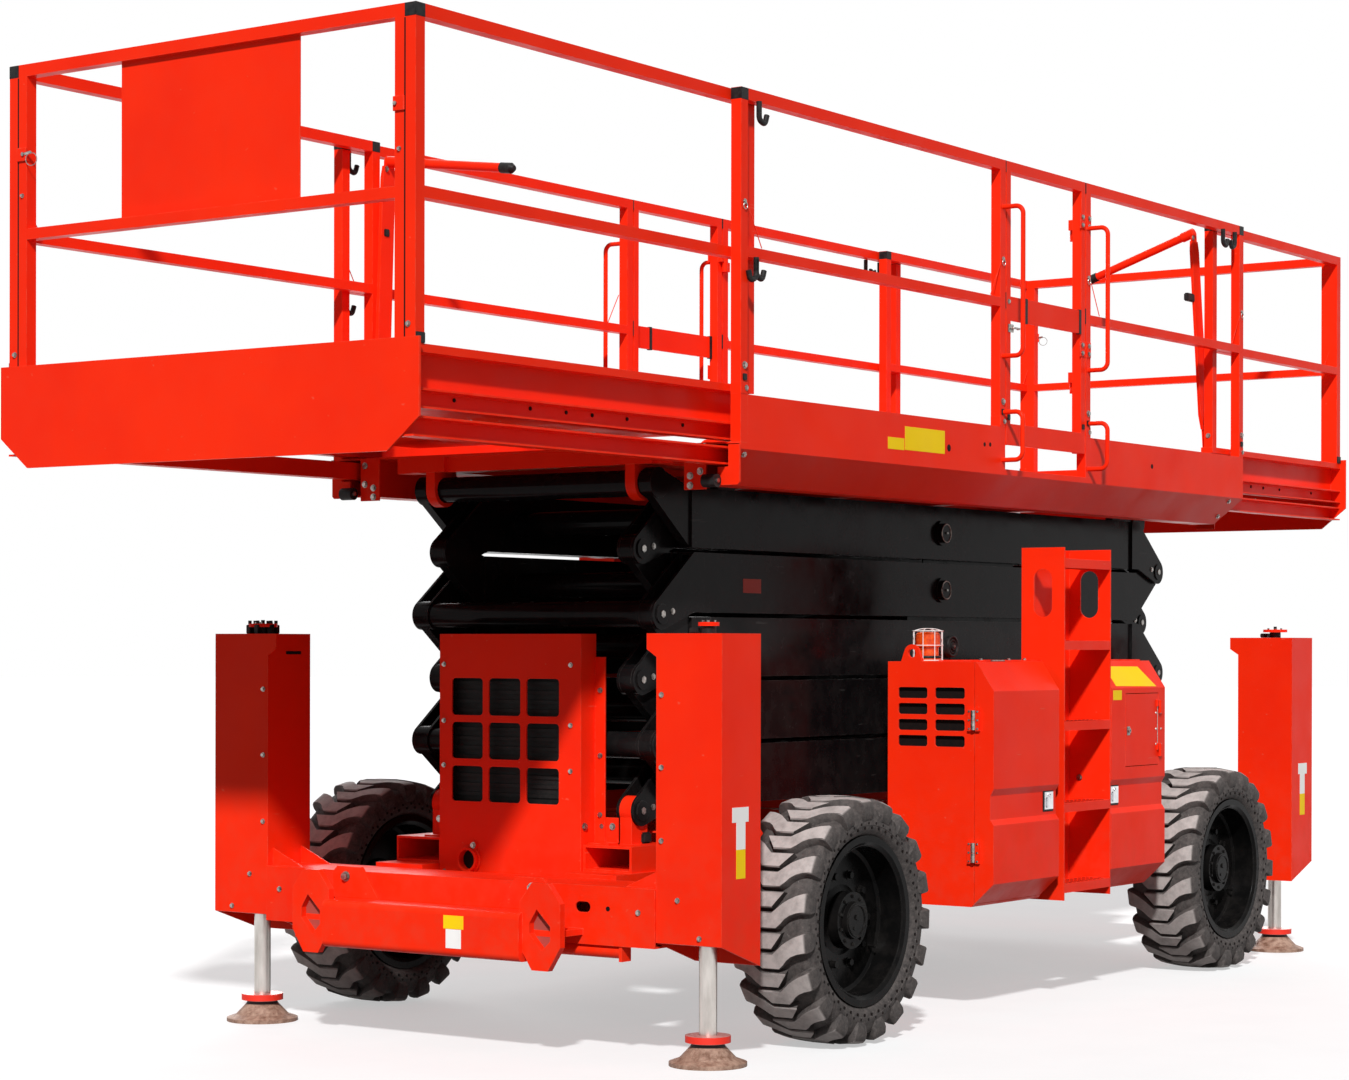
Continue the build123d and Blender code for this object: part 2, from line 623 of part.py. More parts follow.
def make_cabinet(name, side):
    with BuildPart() as cabinet:
        along(cab_outline(0), cab_rear_x, cab_front_x, side)
        block(recess_x, (side * recess_y, side * 1200), (0, 2000), Mode.SUBTRACT)
        # the inside of each half, open where a door closes it
        for x0, x1 in ((cab_rear_x + wall, recess_x[0] - wall), (recess_x[1] + wall, cab_front_x - wall)):
            along(cab_outline(wall), x0, x1, side, Mode.SUBTRACT)
        for x0, x1 in ((cab_rear_x - 1, recess_x[0]), (recess_x[1], cab_front_x + 1)):
            block((x0, x1), (side * cab_split_y, side * 1200), (0, 2000), Mode.SUBTRACT)
        # lifting eye
        eye_x = (cab_front_x - 12, cab_front_x)
        foot = [(eye_y - 46, cab_z[1] - 3), (eye_y + 46, cab_z[1] - 3)]
        near = touch_point(*foot[0], eye_y, eye_z, 32, -1)
        far = touch_point(*foot[1], eye_y, eye_z, 32, 1)
        along([foot[0], foot[1], far, near], *eye_x, side)
        bar_x(side * eye_y, eye_z, 32, *eye_x)
        bar_x(side * eye_y, eye_z, 16, *eye_x, Mode.SUBTRACT)
        # louvre slots in the front face
        with BuildSketch(Plane.YZ.offset(cab_front_x - 10)) as louvres:
            for y0, y1 in louvre_y:
                for z in louvre_z:
                    with Locations((side * (y0 + y1) / 2, z + louvre_h / 2)):
                        RectangleRounded(y1 - y0, louvre_h, 10)
        extrude(louvres.sketch, amount=12, mode=Mode.SUBTRACT)
        for x, out in ((cab_front_x, 1), (cab_rear_x, -1)):
            hinge_half(x + out * door_pivot_out, side * door_pivot_y, door_hinge_z, 30, 9, 5,
                       (x, x + out * door_pivot_out), (side * (door_pivot_y - 24), side * (door_pivot_y - 4)), False)
    save(cabinet, name)


def make_door(name, side, x0, x1, hinge_front, hatch=False):
    """A door bent round the cabinet's outer corner; the end cap is at its hinge."""
    split = cab_split_y + 3
    with BuildPart() as door:
        along(cab_outline(0), x0, x1, side)
        inner = (x0 - 1, x1 - wall) if hinge_front else (x0 + wall, x1 + 1)
        along(cab_outline(wall), *inner, side, Mode.SUBTRACT)
        block((x0 - 1, x1 + 1), (0, side * split), (0, 2000), Mode.SUBTRACT)
        x, out = (x1, 1) if hinge_front else (x0, -1)
        hinge_half(x + out * door_pivot_out, side * door_pivot_y, door_hinge_z, 30, 9, 5,
                   (x, x + out * door_pivot_out), (side * (door_pivot_y + 4), side * (door_pivot_y + 24)), True)
        if hatch:
            block(hatch_x, (side * 1100, side * 1200), hatch_z, Mode.SUBTRACT)
            hinge_half(hatch_x[0], cab_out_y + hatch_pivot_out, hatch_hinge_z, 25, 6, 3,
                       (hatch_x[0] - 20, hatch_x[0] - 3), (cab_out_y, cab_out_y + hatch_pivot_out), False)
    save(door, name)


hatch_x = (mid_x - 662, mid_x - 375)
hatch_z = (866, 1150)
door_front = (recess_x[1] + door_gap, cab_front_x)
door_rear = (cab_rear_x, recess_x[0] - door_gap)
for label, side in (("left", 1), ("right", -1)):
    make_cabinet(f"cabinet_{label}", side)
    make_door(f"door_front_{label}", side, *door_front, True)
    make_door(f"door_rear_{label}", side, *door_rear, False, hatch=side > 0)

with BuildPart() as hatch_door:
    block((hatch_x[0] + 3, hatch_x[1] - 3), (cab_out_y - wall, cab_out_y), (hatch_z[0] + 3, hatch_z[1] - 3))
    hinge_half(hatch_x[0], cab_out_y + hatch_pivot_out, hatch_hinge_z, 25, 6, 3,
               (hatch_x[0] + 3, hatch_x[0] + 20), (cab_out_y, cab_out_y + hatch_pivot_out), True)
save(hatch_door, "control_hatch")


def make_ladder(name, side):
    out = cab_out_y
    with BuildPart() as ladder:
        block(ladder_x, (side * recess_y, side * (recess_y + 5)), ladder_z)
        for x0 in (ladder_x[0], ladder_x[1] - wall):
            block((x0, x0 + wall), (side * recess_y, side * out), ladder_z)
        with BuildSketch(Plane.YZ.offset(ladder_x[0] - 1)) as hand_hole:
            with Locations((side * 1040, 1530)):
                SlotOverall(180, 76, rotation=90)
        extrude(hand_hole.sketch, amount=ladder_x[1] - ladder_x[0] + 2, mode=Mode.SUBTRACT)
        # treads are channels, open below
        for z in rung_z:
            block(ladder_x, (side * (out - 105), side * out), (z - rung_h, z))
            block((ladder_x[0] + wall, ladder_x[1] - wall), (side * (out - 100), side * (out - 5)),
                  (z - rung_h, z - 5), Mode.SUBTRACT)
    save(ladder, name)


make_ladder("ladder_left", 1)
make_ladder("ladder_right", -1)

with BuildPart() as engine_block:
    block((mid_x + 200, mid_x + 620), (cab_in_y + 30, cab_in_y + 300), (cab_z[0] + wall, 980))
save(engine_block, "engine_block")

with BuildPart() as beacon:
    turned_z(mid_x + 550, eye_y, cab_z[1], [(0, 0), (48, 0), (48, 18), (40, 22), (40, 52), (46, 54), (46, 98),
                                            (38, 106), (0, 108)])
save(beacon, "beacon")

# ---------------------------------------------------------------- platform
gate_bay = (gate_rear_x, gate_front_x)
gate_hinge_z = (2330, 2930)
sill = [(700, floor_z), (700, 1862), (800, 1862), (main_post_y, 1975), (main_post_y, floor_z)]
sill_inner = [(705, floor_z - floor_t), (705, sill_floor_z), (798, sill_floor_z), (main_post_y - 5, 1978),
              (main_post_y - 5, floor_z - floor_t)]
with BuildPart() as main_deck:
    block((deck_rear_x, deck_front_x), (-705, 705), (floor_z - floor_t, floor_z))
    for side in (1, -1):
        along(sill, deck_rear_x, deck_front_x, side)
        along(sill_inner, deck_rear_x, deck_front_x, side, Mode.SUBTRACT)
        # mitred rear end, ledge under the rails, and the plate on the front end
        mitre = [(deck_rear_x - 1, 1861), (deck_rear_x + 112, 1861), (deck_rear_x - 1, 1974)]
        across(mitre, side * 699, side * (main_post_y + 1), Mode.SUBTRACT)
        block((deck_rear_x, deck_front_x), (side * (main_post_y - post), side * (main_post_y + 1)),
              (kerb_z, floor_z + 1), Mode.SUBTRACT)
        end_plate = [(800, 1858), (878, 1858), (main_post_y, 1866), (main_post_y, 1990), (842, 1990), (842, 1918),
                     (800, 1918)]
        along(end_plate, deck_front_x - 1, deck_front_x + 7, side)
        # toe boards between the rail posts
        for x0, x1 in ((deck_rear_x + post, gate_rear_x - gate_gap - post),
                       (gate_front_x + gate_gap + post, deck_front_x - post)):
            block((x0, x1), (side * (main_post_y - wall), side * main_post_y), (kerb_z, toe_top_z))
        # track over the arms
        block((deck_rear_x, deck_front_x), (side * 370, side * 530), (track_low_z, floor_z - floor_t))
        # lug that turns on the cross tube of the top outer arm
        lug_y = (side * platform_lug_y[0], side * platform_lug_y[1])
        pivot_z = pin0_z + levels * pitch
        block((front_pin_x - platform_lug_r, front_pin_x + platform_lug_r), lug_y, (pivot_z, track_low_z + 1))
        bar_y(front_pin_x, pivot_z, platform_lug_r, *lug_y)
        bar_y(front_pin_x, pivot_z, cross_tube_r + turn_gap, *lug_y, Mode.SUBTRACT)
    for x in (deck_rear_x + 60, mid_x - 1200, mid_x - 400, mid_x + 400, mid_x + 1200, deck_front_x - 60):
        block((x - 40, x + 40), (-600, 600), (track_low_z, floor_z - floor_t))
save(main_deck, "main_deck")


def grab_handle(x, side, z0, z1):
    """A round bar bent to a D on the outer face of a post."""
    foot = side * (main_post_y - 6)
    out = side * (main_post_y + grab_out)
    with BuildLine() as path:
        FilletPolyline((x, foot, z0), (x, out, z0), (x, out, z1), (x, foot, z1), radius=30)
    with BuildSketch(Plane((x, foot, z0), x_dir=(1, 0, 0), z_dir=(0, side, 0))) as ring:
        Circle(grab_r)
    sweep(ring.sketch, path=path.wire())


def make_main_rails(name, side):
    outer = (side * (main_post_y - post), side * main_post_y)
    with BuildPart() as rails:
        for x0 in (deck_rear_x, gate_rear_x - gate_gap - post, gate_front_x + gate_gap, deck_front_x - post):
            block((x0, x0 + post), outer, (kerb_z, rail_top_z))
        for x in (gate_rear_x - gate_gap - post / 2, gate_front_x + gate_gap + post / 2):
            for z0, z1 in ((2030, 2210), (2420, 2980)):
                grab_handle(x, side, z0, z1)
        for x0, x1 in ((deck_rear_x, gate_rear_x - gate_gap), (gate_front_x + gate_gap, deck_front_x)):
            block((x0, x1), outer, (rail_top_z - rail_h, rail_top_z))
            block((x0, x1), outer, (mid_rail_z - mid_rail_h, mid_rail_z))
        hinge_half(gate_pivot[0], side * gate_pivot[1], gate_hinge_z, 40, 13, 8,
                   (gate_pivot[0] - 30, gate_pivot[0]), (side * (gate_pivot[1] - 6), side * (main_post_y - post)), False)
    save(rails, name)


def make_gate(name, side):
    outer = (side * (main_post_y - post), side * main_post_y)
    with BuildPart() as gate:
        for x0 in (gate_bay[0], gate_bay[1] - 32):
            block((x0, x0 + 32), outer, (2090, rail_top_z))
        block(gate_bay, outer, (rail_top_z - rail_h, rail_top_z))
        block(gate_bay, (outer[1] - side * 12, outer[1]), (2560, 2650))
        block(gate_bay, (outer[1] - side * 12, outer[1]), (2090, 2170))
        hinge_half(gate_pivot[0], side * gate_pivot[1], gate_hinge_z, 40, 13, 8,
                   (gate_pivot[0], gate_pivot[0] + 30), (side * (gate_pivot[1] - 6), side * (main_post_y - post)), True)
    save(gate, name)


for label, side in (("left", 1), ("right", -1)):
    make_main_rails(f"rails_main_{label}", side)
    make_gate(f"gate_{label}", side)


# ---------------------------------------------------------------- extension decks
def make_extension(name, outward, reach, side_in, floor_in, runner_in):
    """A sliding deck with its toe plate; outward is +1 at the front. Runs are from the chassis middle."""
    face_x = mid_x + outward * reach
    back_x = face_x - outward * plate_t
    outline = [(-plate_half, 1980), (-plate_half + 120, plate_z[0]), (plate_half - 120, plate_z[0]),
               (plate_half, 1980), (plate_half, plate_z[1]), (-plate_half, plate_z[1])]
    with BuildPart() as deck:
        along(outline, face_x, back_x)
        block((mid_x + outward * floor_in, back_x), (-790, 790), (ext_floor_z - wall, ext_floor_z))
        side_run = (mid_x + outward * side_in, back_x)
        for side in (1, -1):
            block(side_run, (side * 784, side * 790), (floor_z + 6, ext_top_z))
            block(side_run, (side * 784, side * ext_post_y), (ext_top_z - 24, ext_top_z))
            block(side_run, (side * 784, side * ext_post_y), (floor_z + 6, floor_z + 12))
            block(side_run, (side * 784, side * ext_post_y), (ext_floor_z - wall, ext_floor_z))
            run = (mid_x + outward * runner_in, back_x)
            block(run, (side * runner_y[0], side * (runner_y[0] + 6)), runner_z)
            for z0 in (runner_z[0], runner_z[1] - 6):
                block(run, (side * runner_y[0], side * runner_y[1]), (z0, z0 + 6))
            pad = (mid_x + outward * (runner_in + 10), mid_x + outward * (runner_in + 90))
            block(pad, (side * runner_y[0], side * (runner_y[0] + 18)), (sill_floor_z, runner_z[0]))
    save(deck, name)


def make_ext_rails(name, outward, reach, side_in, panel):
    """The U-shaped guard rail of an extension deck, with a sheet panel at the front."""
    end_x = mid_x + outward * (reach - plate_t - 5)
    inner_x = mid_x + outward * side_in
    corner = (end_x, end_x - outward * post)
    with BuildPart() as rails:
        for side in (1, -1):
            post_y = (side * (ext_post_y - post), side * ext_post_y)
            block(corner, post_y, (ext_top_z, rail_top_z))
            block(corner, (side * (ext_post_y - 2 * post + 2), side * (ext_post_y - post)), (ext_top_z, rail_top_z))
            block((inner_x, inner_x + outward * post), post_y, (ext_top_z, rail_top_z))
            for top, high in ((rail_top_z, rail_h), (mid_rail_z, mid_rail_h)):
                block((inner_x, end_x), post_y, (top - high, top))
        for top, high in ((rail_top_z, rail_h), (mid_rail_z, mid_rail_h)):
            block((end_x, end_x - outward * post), (-ext_post_y, ext_post_y), (top - high, top))
        if panel:
            block((end_x - outward * 22, end_x - outward * 18), (-357, 380), (mid_rail_z, rail_top_z - rail_h))
    save(rails, name)


def make_push_bar(name, side, low_x, top, inner):
    """A flat lever seated on the deck's side, with a round bar that slopes across the deck."""
    low_x = mid_x + low_x
    top = Vector(mid_x + top[0], side * 784, top[1])
    inner = Vector(mid_x + inner[0], side * inner[1], inner[2])
    with BuildPart() as push_bar:
        across([(low_x - 18, ext_floor_z), (low_x + 18, ext_floor_z), (top.X + 18, top.Z), (top.X - 18, top.Z)],
               side * 772, side * 784)
        with BuildSketch(Plane(top, x_dir=(1, 0, 0), z_dir=inner - top)) as bar:
            Circle(push_bar_r)
        extrude(bar.sketch, amount=(inner - top).length)
    save(push_bar, name)


front_side_in = 1775
rear_side_in = 1785
make_extension("extension_deck_front", 1, front_reach, front_side_in, 1560, 1450)
make_extension("extension_deck_rear", -1, rear_reach, rear_side_in, 1620, 1500)
make_ext_rails("rails_front", 1, front_reach, front_side_in, True)
make_ext_rails("rails_rear", -1, rear_reach, rear_side_in, False)
# side, lever's foot, lever's top as (x, z), inner end of the bar as (x, y, z)
make_push_bar("push_bar_front", -1, 1795, (1751, 3090), (1780, 200, 3010))
make_push_bar("push_bar_rear", 1, -1861, (-1716, 3110), (-1700, 300, 2940))
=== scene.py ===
import json
import math

import bmesh
import bpy
from mathutils import Matrix, Vector


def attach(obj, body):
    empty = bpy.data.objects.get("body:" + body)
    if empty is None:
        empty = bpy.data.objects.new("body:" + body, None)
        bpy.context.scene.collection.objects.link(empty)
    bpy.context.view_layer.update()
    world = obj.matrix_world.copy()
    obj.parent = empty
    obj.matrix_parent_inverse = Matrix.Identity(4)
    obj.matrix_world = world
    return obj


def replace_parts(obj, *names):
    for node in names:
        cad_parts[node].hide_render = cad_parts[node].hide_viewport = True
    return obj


# Rough-terrain scissor lift: finishes, small fittings, camera and studio. Lengths are in metres.

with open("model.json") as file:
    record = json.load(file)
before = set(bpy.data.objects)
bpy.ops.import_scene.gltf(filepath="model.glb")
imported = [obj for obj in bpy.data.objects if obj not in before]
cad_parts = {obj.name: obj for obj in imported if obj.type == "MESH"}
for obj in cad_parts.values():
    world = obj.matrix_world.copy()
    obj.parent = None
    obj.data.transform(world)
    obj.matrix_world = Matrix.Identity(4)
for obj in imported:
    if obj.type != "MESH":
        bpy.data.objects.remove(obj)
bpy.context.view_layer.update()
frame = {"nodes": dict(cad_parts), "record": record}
nodes = frame["nodes"]
MID_X = -0.16                       # the chassis middle in this frame
SIDES = (("left", 1), ("right", -1))
BOTH = (1, -1)
FORWARD, ACROSS, UP = (1, 0, 0), (0, 1, 0), (0, 0, 1)
FRONT_AXLE_X, REAR_AXLE_X = 1.530, -1.345
AXLE_Z = TREAD_R = 0.415            # the tyres stand on the floor


# ---------------------------------------------------------------- node helpers
class Tree:
    """The node tree of a material or a world, with short calls to build it."""

    def __init__(self, owner, output):
        owner.use_nodes = True
        self.tree = owner.node_tree
        self.tree.nodes.clear()
        self.surface = self.node(output).inputs["Surface"]

    def feed(self, socket, value):
        """Links another node's output to an input, or sets it; a colour is given as three numbers."""
        if isinstance(value, bpy.types.NodeSocket):
            self.tree.links.new(value, socket)
        else:
            socket.default_value = (*value, 1.0) if socket.type == "RGBA" else value

    def node(self, kind, *inputs, **named):
        """A new node, its inputs given in their order or by name, with _ for a space."""
        node = self.tree.nodes.new("ShaderNode" + kind)
        for socket, value in zip(node.inputs, inputs):
            self.feed(socket, value)
        for name, value in named.items():
            self.feed(node.inputs[name.replace("_", " ")], value)
        return node

    def math(self, operation, a, b=0.0):
        node = self.node("Math", a, b)
        node.operation = operation
        return node.outputs[0]

    def times(self, a, b):
        return self.math("MULTIPLY", a, b)

    def seen_rays(self):
        """1 for rays that should meet the pale backdrop: camera, mirror and glass rays."""
        path = self.node("LightPath").outputs
        sharp = self.math("MAXIMUM", path["Is Camera Ray"], path["Is Glossy Ray"])
        return self.math("MAXIMUM", sharp, path["Is Transmission Ray"])


class Shader(Tree):
    """A material's node tree."""

    def __init__(self, name):
        self.material = bpy.data.materials.new(name)
        super().__init__(self.material, "OutputMaterial")
        place = self.node("TexCoord")
        self.coords, self.normal = place.outputs["Object"], place.outputs["Normal"]

    def noise(self, scale, detail=4.0, roughness=0.55, stretch=None):
        place = self.coords
        if stretch:
            place = self.node("Mapping", Vector=place, Scale=stretch).outputs["Vector"]
        return self.node("TexNoise", Vector=place, Scale=scale, Detail=detail,
                         Roughness=roughness).outputs["Fac"]

    def ramp(self, value, low, high, start=0.0, end=1.0):
        """value from low..high is spread to start..end and held outside."""
        node = self.node("MapRange", Value=value, From_Min=low, From_Max=high, To_Min=start, To_Max=end)
        return node.outputs["Result"]

    def mix(self, factor, a, b):
        node = self.node("Mix")
        node.data_type = "RGBA"
        for name, value in (("Factor", factor), ("A", a), ("B", b)):
            self.feed(node.inputs[name], value)
        return node.outputs["Result"]

    def axis(self, name):
        return self.node("SeparateXYZ", self.coords).outputs[name]

    def bump(self, height, strength, distance):
        return self.node("Bump", Height=height, Strength=strength, Distance=distance).outputs["Normal"]

    def dot(self, a, b):
        node = self.node("VectorMath", a, b)
        node.operation = "DOT_PRODUCT"
        return node.outputs["Value"]

    def edges(self, radius):
        """1 on sharp edges and 0 on flat faces."""
        bevel = self.node("Bevel", Radius=radius)
        bevel.samples = 4
        face = self.node("NewGeometry")
        return self.ramp(self.dot(bevel.outputs["Normal"], face.outputs["Normal"]), 0.985, 0.80)

    def finish(self, colour, roughness, **more):
        """Closes the tree with this colour and roughness, and gives the material."""
        shader = self.node("BsdfPrincipled", Base_Color=colour, Roughness=roughness, **more)
        self.feed(self.surface, shader.outputs["BSDF"])
        return self.material


# ---------------------------------------------------------------- finishes
def paint(name, colour, shade, rough=0.36, dust=(0.34, 0.13, 0.08), dust_top=0.9, dust_level=0.14,
          scratch=0.3, worn=(0.80, 0.16, 0.09), gloss=0.07):
    """Sprayed gloss paint with slow colour drift, worn edges lightened as wear and as a painted highlight,
    road dust low down and thin scratches.
    """
    s = Shader(name)
    drift = s.ramp(s.noise(2.3, 3.0), 0.35, 0.7)
    base = s.mix(drift, colour, shade)
    streak = s.ramp(s.noise(9.0, 6.0, 0.7, (1.0, 1.0, 0.12)), 0.60, 0.80, 0.0, 0.07)
    base = s.mix(streak, base, tuple(c * 0.5 for c in colour))
    # edges lightened in patches: partly wear, partly a painted highlight
    edge_wear_and_highlight = s.times(s.edges(0.003), s.ramp(s.noise(26.0, 5.0, 0.7), 0.42, 0.62, 0.0, 0.7))
    base = s.mix(edge_wear_and_highlight, base, worn)
    height = s.ramp(s.axis("Z"), 0.1, dust_top, dust_level, 0.02)
    grime = s.times(s.ramp(s.noise(16.0, 7.0, 0.65), 0.42, 0.66), height)
    base = s.mix(grime, base, dust)
    rub = s.ramp(s.noise(34.0, 2.0, 0.5, (0.15, 1.0, 1.6)), 0.735, 0.765, 0.0, scratch)
    base = s.mix(rub, base, worn)
    roughness = s.math("ADD", s.ramp(s.noise(7.0, 5.0), 0.3, 0.7, rough - 0.08, rough + 0.10), grime)
    normal = s.bump(s.noise(220.0, 2.0), 0.05, 0.002)
    return s.finish(base, roughness, Normal=normal, Specular_IOR_Level=gloss)


def metal(name, colour, shade, rough, scale=60.0, metallic=1.0, stretch=None):
    s = Shader(name)
    base = s.mix(s.ramp(s.noise(scale, 5.0, 0.6, stretch), 0.35, 0.65), colour, shade)
    roughness = s.ramp(s.noise(scale * 0.4, 4.0), 0.3, 0.7, rough * 0.7, rough * 1.35)
    normal = s.bump(s.noise(scale * 3, 3.0, 0.6, stretch), 0.12, 0.001)
    return s.finish(base, roughness, Normal=normal, Metallic=metallic)


def rubber(name, colour, shade, rough=0.62, scale=45.0):
    s = Shader(name)
    base = s.mix(s.ramp(s.noise(scale, 6.0, 0.7), 0.38, 0.64), colour, shade)
    normal = s.bump(s.noise(scale * 5, 4.0), 0.25, 0.001)
    roughness = s.ramp(s.noise(scale, 3.0), 0.3, 0.7, rough - 0.1, rough + 0.15)
    return s.finish(base, roughness, Normal=normal, Specular_IOR_Level=0.12)


def tyre_rubber(name, hub_x, hub_z):
    """Pale worn lug tops, dusty shoulders and a darker scuffed side wall, by distance from the hub."""
    s = Shader(name)
    dx = s.math("SUBTRACT", s.axis("X"), hub_x)
    dz = s.math("SUBTRACT", s.axis("Z"), hub_z)
    radius = s.math("SQRT", s.math("ADD", s.times(dx, dx), s.times(dz, dz)))
    fine = s.noise(55.0, 8.0, 0.75)
    side = s.mix(s.ramp(fine, 0.38, 0.62), (0.030, 0.026, 0.025), (0.095, 0.082, 0.077))
    dusty = s.times(s.ramp(radius, 0.350, 0.392, 0.0, 0.30), s.ramp(s.noise(14.0, 5.0), 0.35, 0.6, 0.3, 1.0))
    base = s.mix(dusty, side, (0.150, 0.130, 0.122))
    patches = s.ramp(s.noise(20.0, 7.0, 0.7), 0.30, 0.58, 0.55, 1.0)
    outwards = s.node("CombineXYZ", X=s.math("DIVIDE", dx, radius), Z=s.math("DIVIDE", dz, radius))
    facing = s.dot(outwards.outputs["Vector"], s.normal)
    worn = s.times(s.ramp(radius, 0.3925, 0.4005), patches)
    worn = s.times(worn, s.ramp(facing, 0.55, 0.85))
    base = s.mix(worn, base, (0.460, 0.415, 0.395))
    scuff = s.ramp(s.noise(120.0, 3.0, 0.6), 0.66, 0.72, 0.0, 0.35)
    base = s.mix(scuff, base, (0.34, 0.31, 0.29))
    normal = s.bump(s.math("ADD", fine, s.noise(260.0, 3.0)), 0.35, 0.0022)
    return s.finish(base, s.ramp(fine, 0.3, 0.7, 0.66, 0.9), Normal=normal, Specular_IOR_Level=0.25)


def jack_steel(name):
    """Plated rod over a rusty cast foot."""
    s = Shader(name)
    z = s.axis("Z")
    low = s.ramp(z, 0.071, 0.069)
    ring = s.times(s.ramp(z, 0.0735, 0.0745), s.ramp(z, 0.0965, 0.0955))
    neck = s.times(s.ramp(z, 0.0735, 0.0725), s.ramp(z, 0.060, 0.061))
    rust = s.mix(s.ramp(s.noise(38.0, 8.0, 0.7), 0.35, 0.62), (0.16, 0.075, 0.045), (0.42, 0.27, 0.20))
    streaks = s.ramp(s.noise(20.0, 5.0, 0.6, (1.0, 1.0, 0.2)), 0.4, 0.7)
    steel = s.mix(streaks, (0.66, 0.62, 0.58), (0.42, 0.39, 0.36))
    base = s.mix(ring, s.mix(low, steel, s.mix(neck, rust, (0.012, 0.011, 0.011))), (0.80, 0.024, 0.008))
    plain = s.math("MAXIMUM", low, ring)
    return s.finish(base, s.ramp(plain, 0.0, 1.0, 0.30, 0.62), Metallic=s.math("SUBTRACT", 1.0, plain),
                    Normal=s.bump(s.noise(90.0, 5.0), 0.2, 0.002))


RED = (0.93, 0.026, 0.004)
RED_SHADE = (0.86, 0.020, 0.004)
# edge and scratch colour of the black paints; on the edges it is wear and a painted highlight
GREY_WEAR_AND_HIGHLIGHT = (0.10, 0.095, 0.09)
DIRT = (0.06, 0.05, 0.045)
red = paint("paint_red", RED, RED_SHADE)
black_arm = paint("paint_black", (0.0045, 0.004, 0.0045), (0.009, 0.008, 0.008), 0.18, DIRT, 2.2, 0.15, 0.2,
                  GREY_WEAR_AND_HIGHLIGHT, 0.05)
black_axle = paint("paint_axle", (0.016, 0.015, 0.015), (0.028, 0.026, 0.024), 0.5, (0.12, 0.09, 0.08), 0.9,
                   0.7, 0.3, GREY_WEAR_AND_HIGHLIGHT)
black_rim = paint("paint_rim", (0.003, 0.003, 0.003), (0.006, 0.0055, 0.0055), 0.20, DIRT, 0.9, 0.12, 0.2,
                  (0.06, 0.055, 0.05), 0.05)
chrome = metal("chrome_rod", (0.80, 0.80, 0.82), (0.66, 0.66, 0.68), 0.12, 30.0)
zinc = metal("zinc_steel", (0.46, 0.44, 0.41), (0.20, 0.19, 0.18), 0.36, 90.0)
bronze = metal("bronze_ring", (0.22, 0.18, 0.16), (0.12, 0.09, 0.08), 0.34, 90.0)
cast = metal("cast_grey", (0.16, 0.16, 0.165), (0.09, 0.09, 0.09), 0.6, 40.0, 0.6)
core = rubber("core_black", (0.007, 0.007, 0.007), (0.018, 0.016, 0.015), 0.6, 70.0)
cap_black = rubber("cap_black", (0.010, 0.010, 0.011), (0.026, 0.025, 0.024), 0.45)
# near-black finish for flat discs, studs and sheets that stand for holes, pits and gaps: painted shade; it
# also draws one dark joint line
hole_dark = rubber("hole_dark", (0.004, 0.003, 0.003), (0.010, 0.006, 0.005), 0.8)
yellow = paint("label_yellow", (0.98, 0.66, 0.008), (0.92, 0.60, 0.008), 0.42, dust_level=0.1, scratch=0.2)
white = paint("label_white", (0.93, 0.92, 0.90), (0.86, 0.84, 0.81), 0.42, dust_level=0.1, scratch=0.2,
              worn=(0.60, 0.56, 0.52))
# dull red: a plate's own colour on one arm, and painted shade on the webs behind the bumper end plates
brick = paint("plate_brick", (0.42, 0.075, 0.06), (0.34, 0.06, 0.05), 0.5)
jack = jack_steel("jack_steel")
tyre_front = tyre_rubber("tyre_front", MID_X + FRONT_AXLE_X, AXLE_Z)
tyre_rear = tyre_rubber("tyre_rear", MID_X + REAR_AXLE_X, AXLE_Z)

amber_shader = Shader("lamp_amber")
amber_tint = amber_shader.ramp(amber_shader.noise(60.0), 0.3, 0.7)
amber = amber_shader.finish(amber_shader.mix(amber_tint, (0.62, 0.030, 0.004), (0.95, 0.13, 0.010)), 0.18,
                            Transmission_Weight=0.15, IOR=1.40)

FINISHES = {"body_red": red, "arm_black": black_arm, "axle_black": black_axle, "rim_black": black_rim,
            "chrome": chrome, "cast_grey": cast, "core_black": core, "jack_steel": jack, "lamp_amber": amber}
slot_of = {part["node"]: part["material_slot"] for part in frame["record"]["subparts"]}
for node_name, node_object in nodes.items():
    if node_name.startswith("tyre"):
        finish = tyre_front if "front" in node_name else tyre_rear
    else:
        finish = FINISHES[slot_of[node_name]]
    node_object.data.materials.clear()
    node_object.data.materials.append(finish)


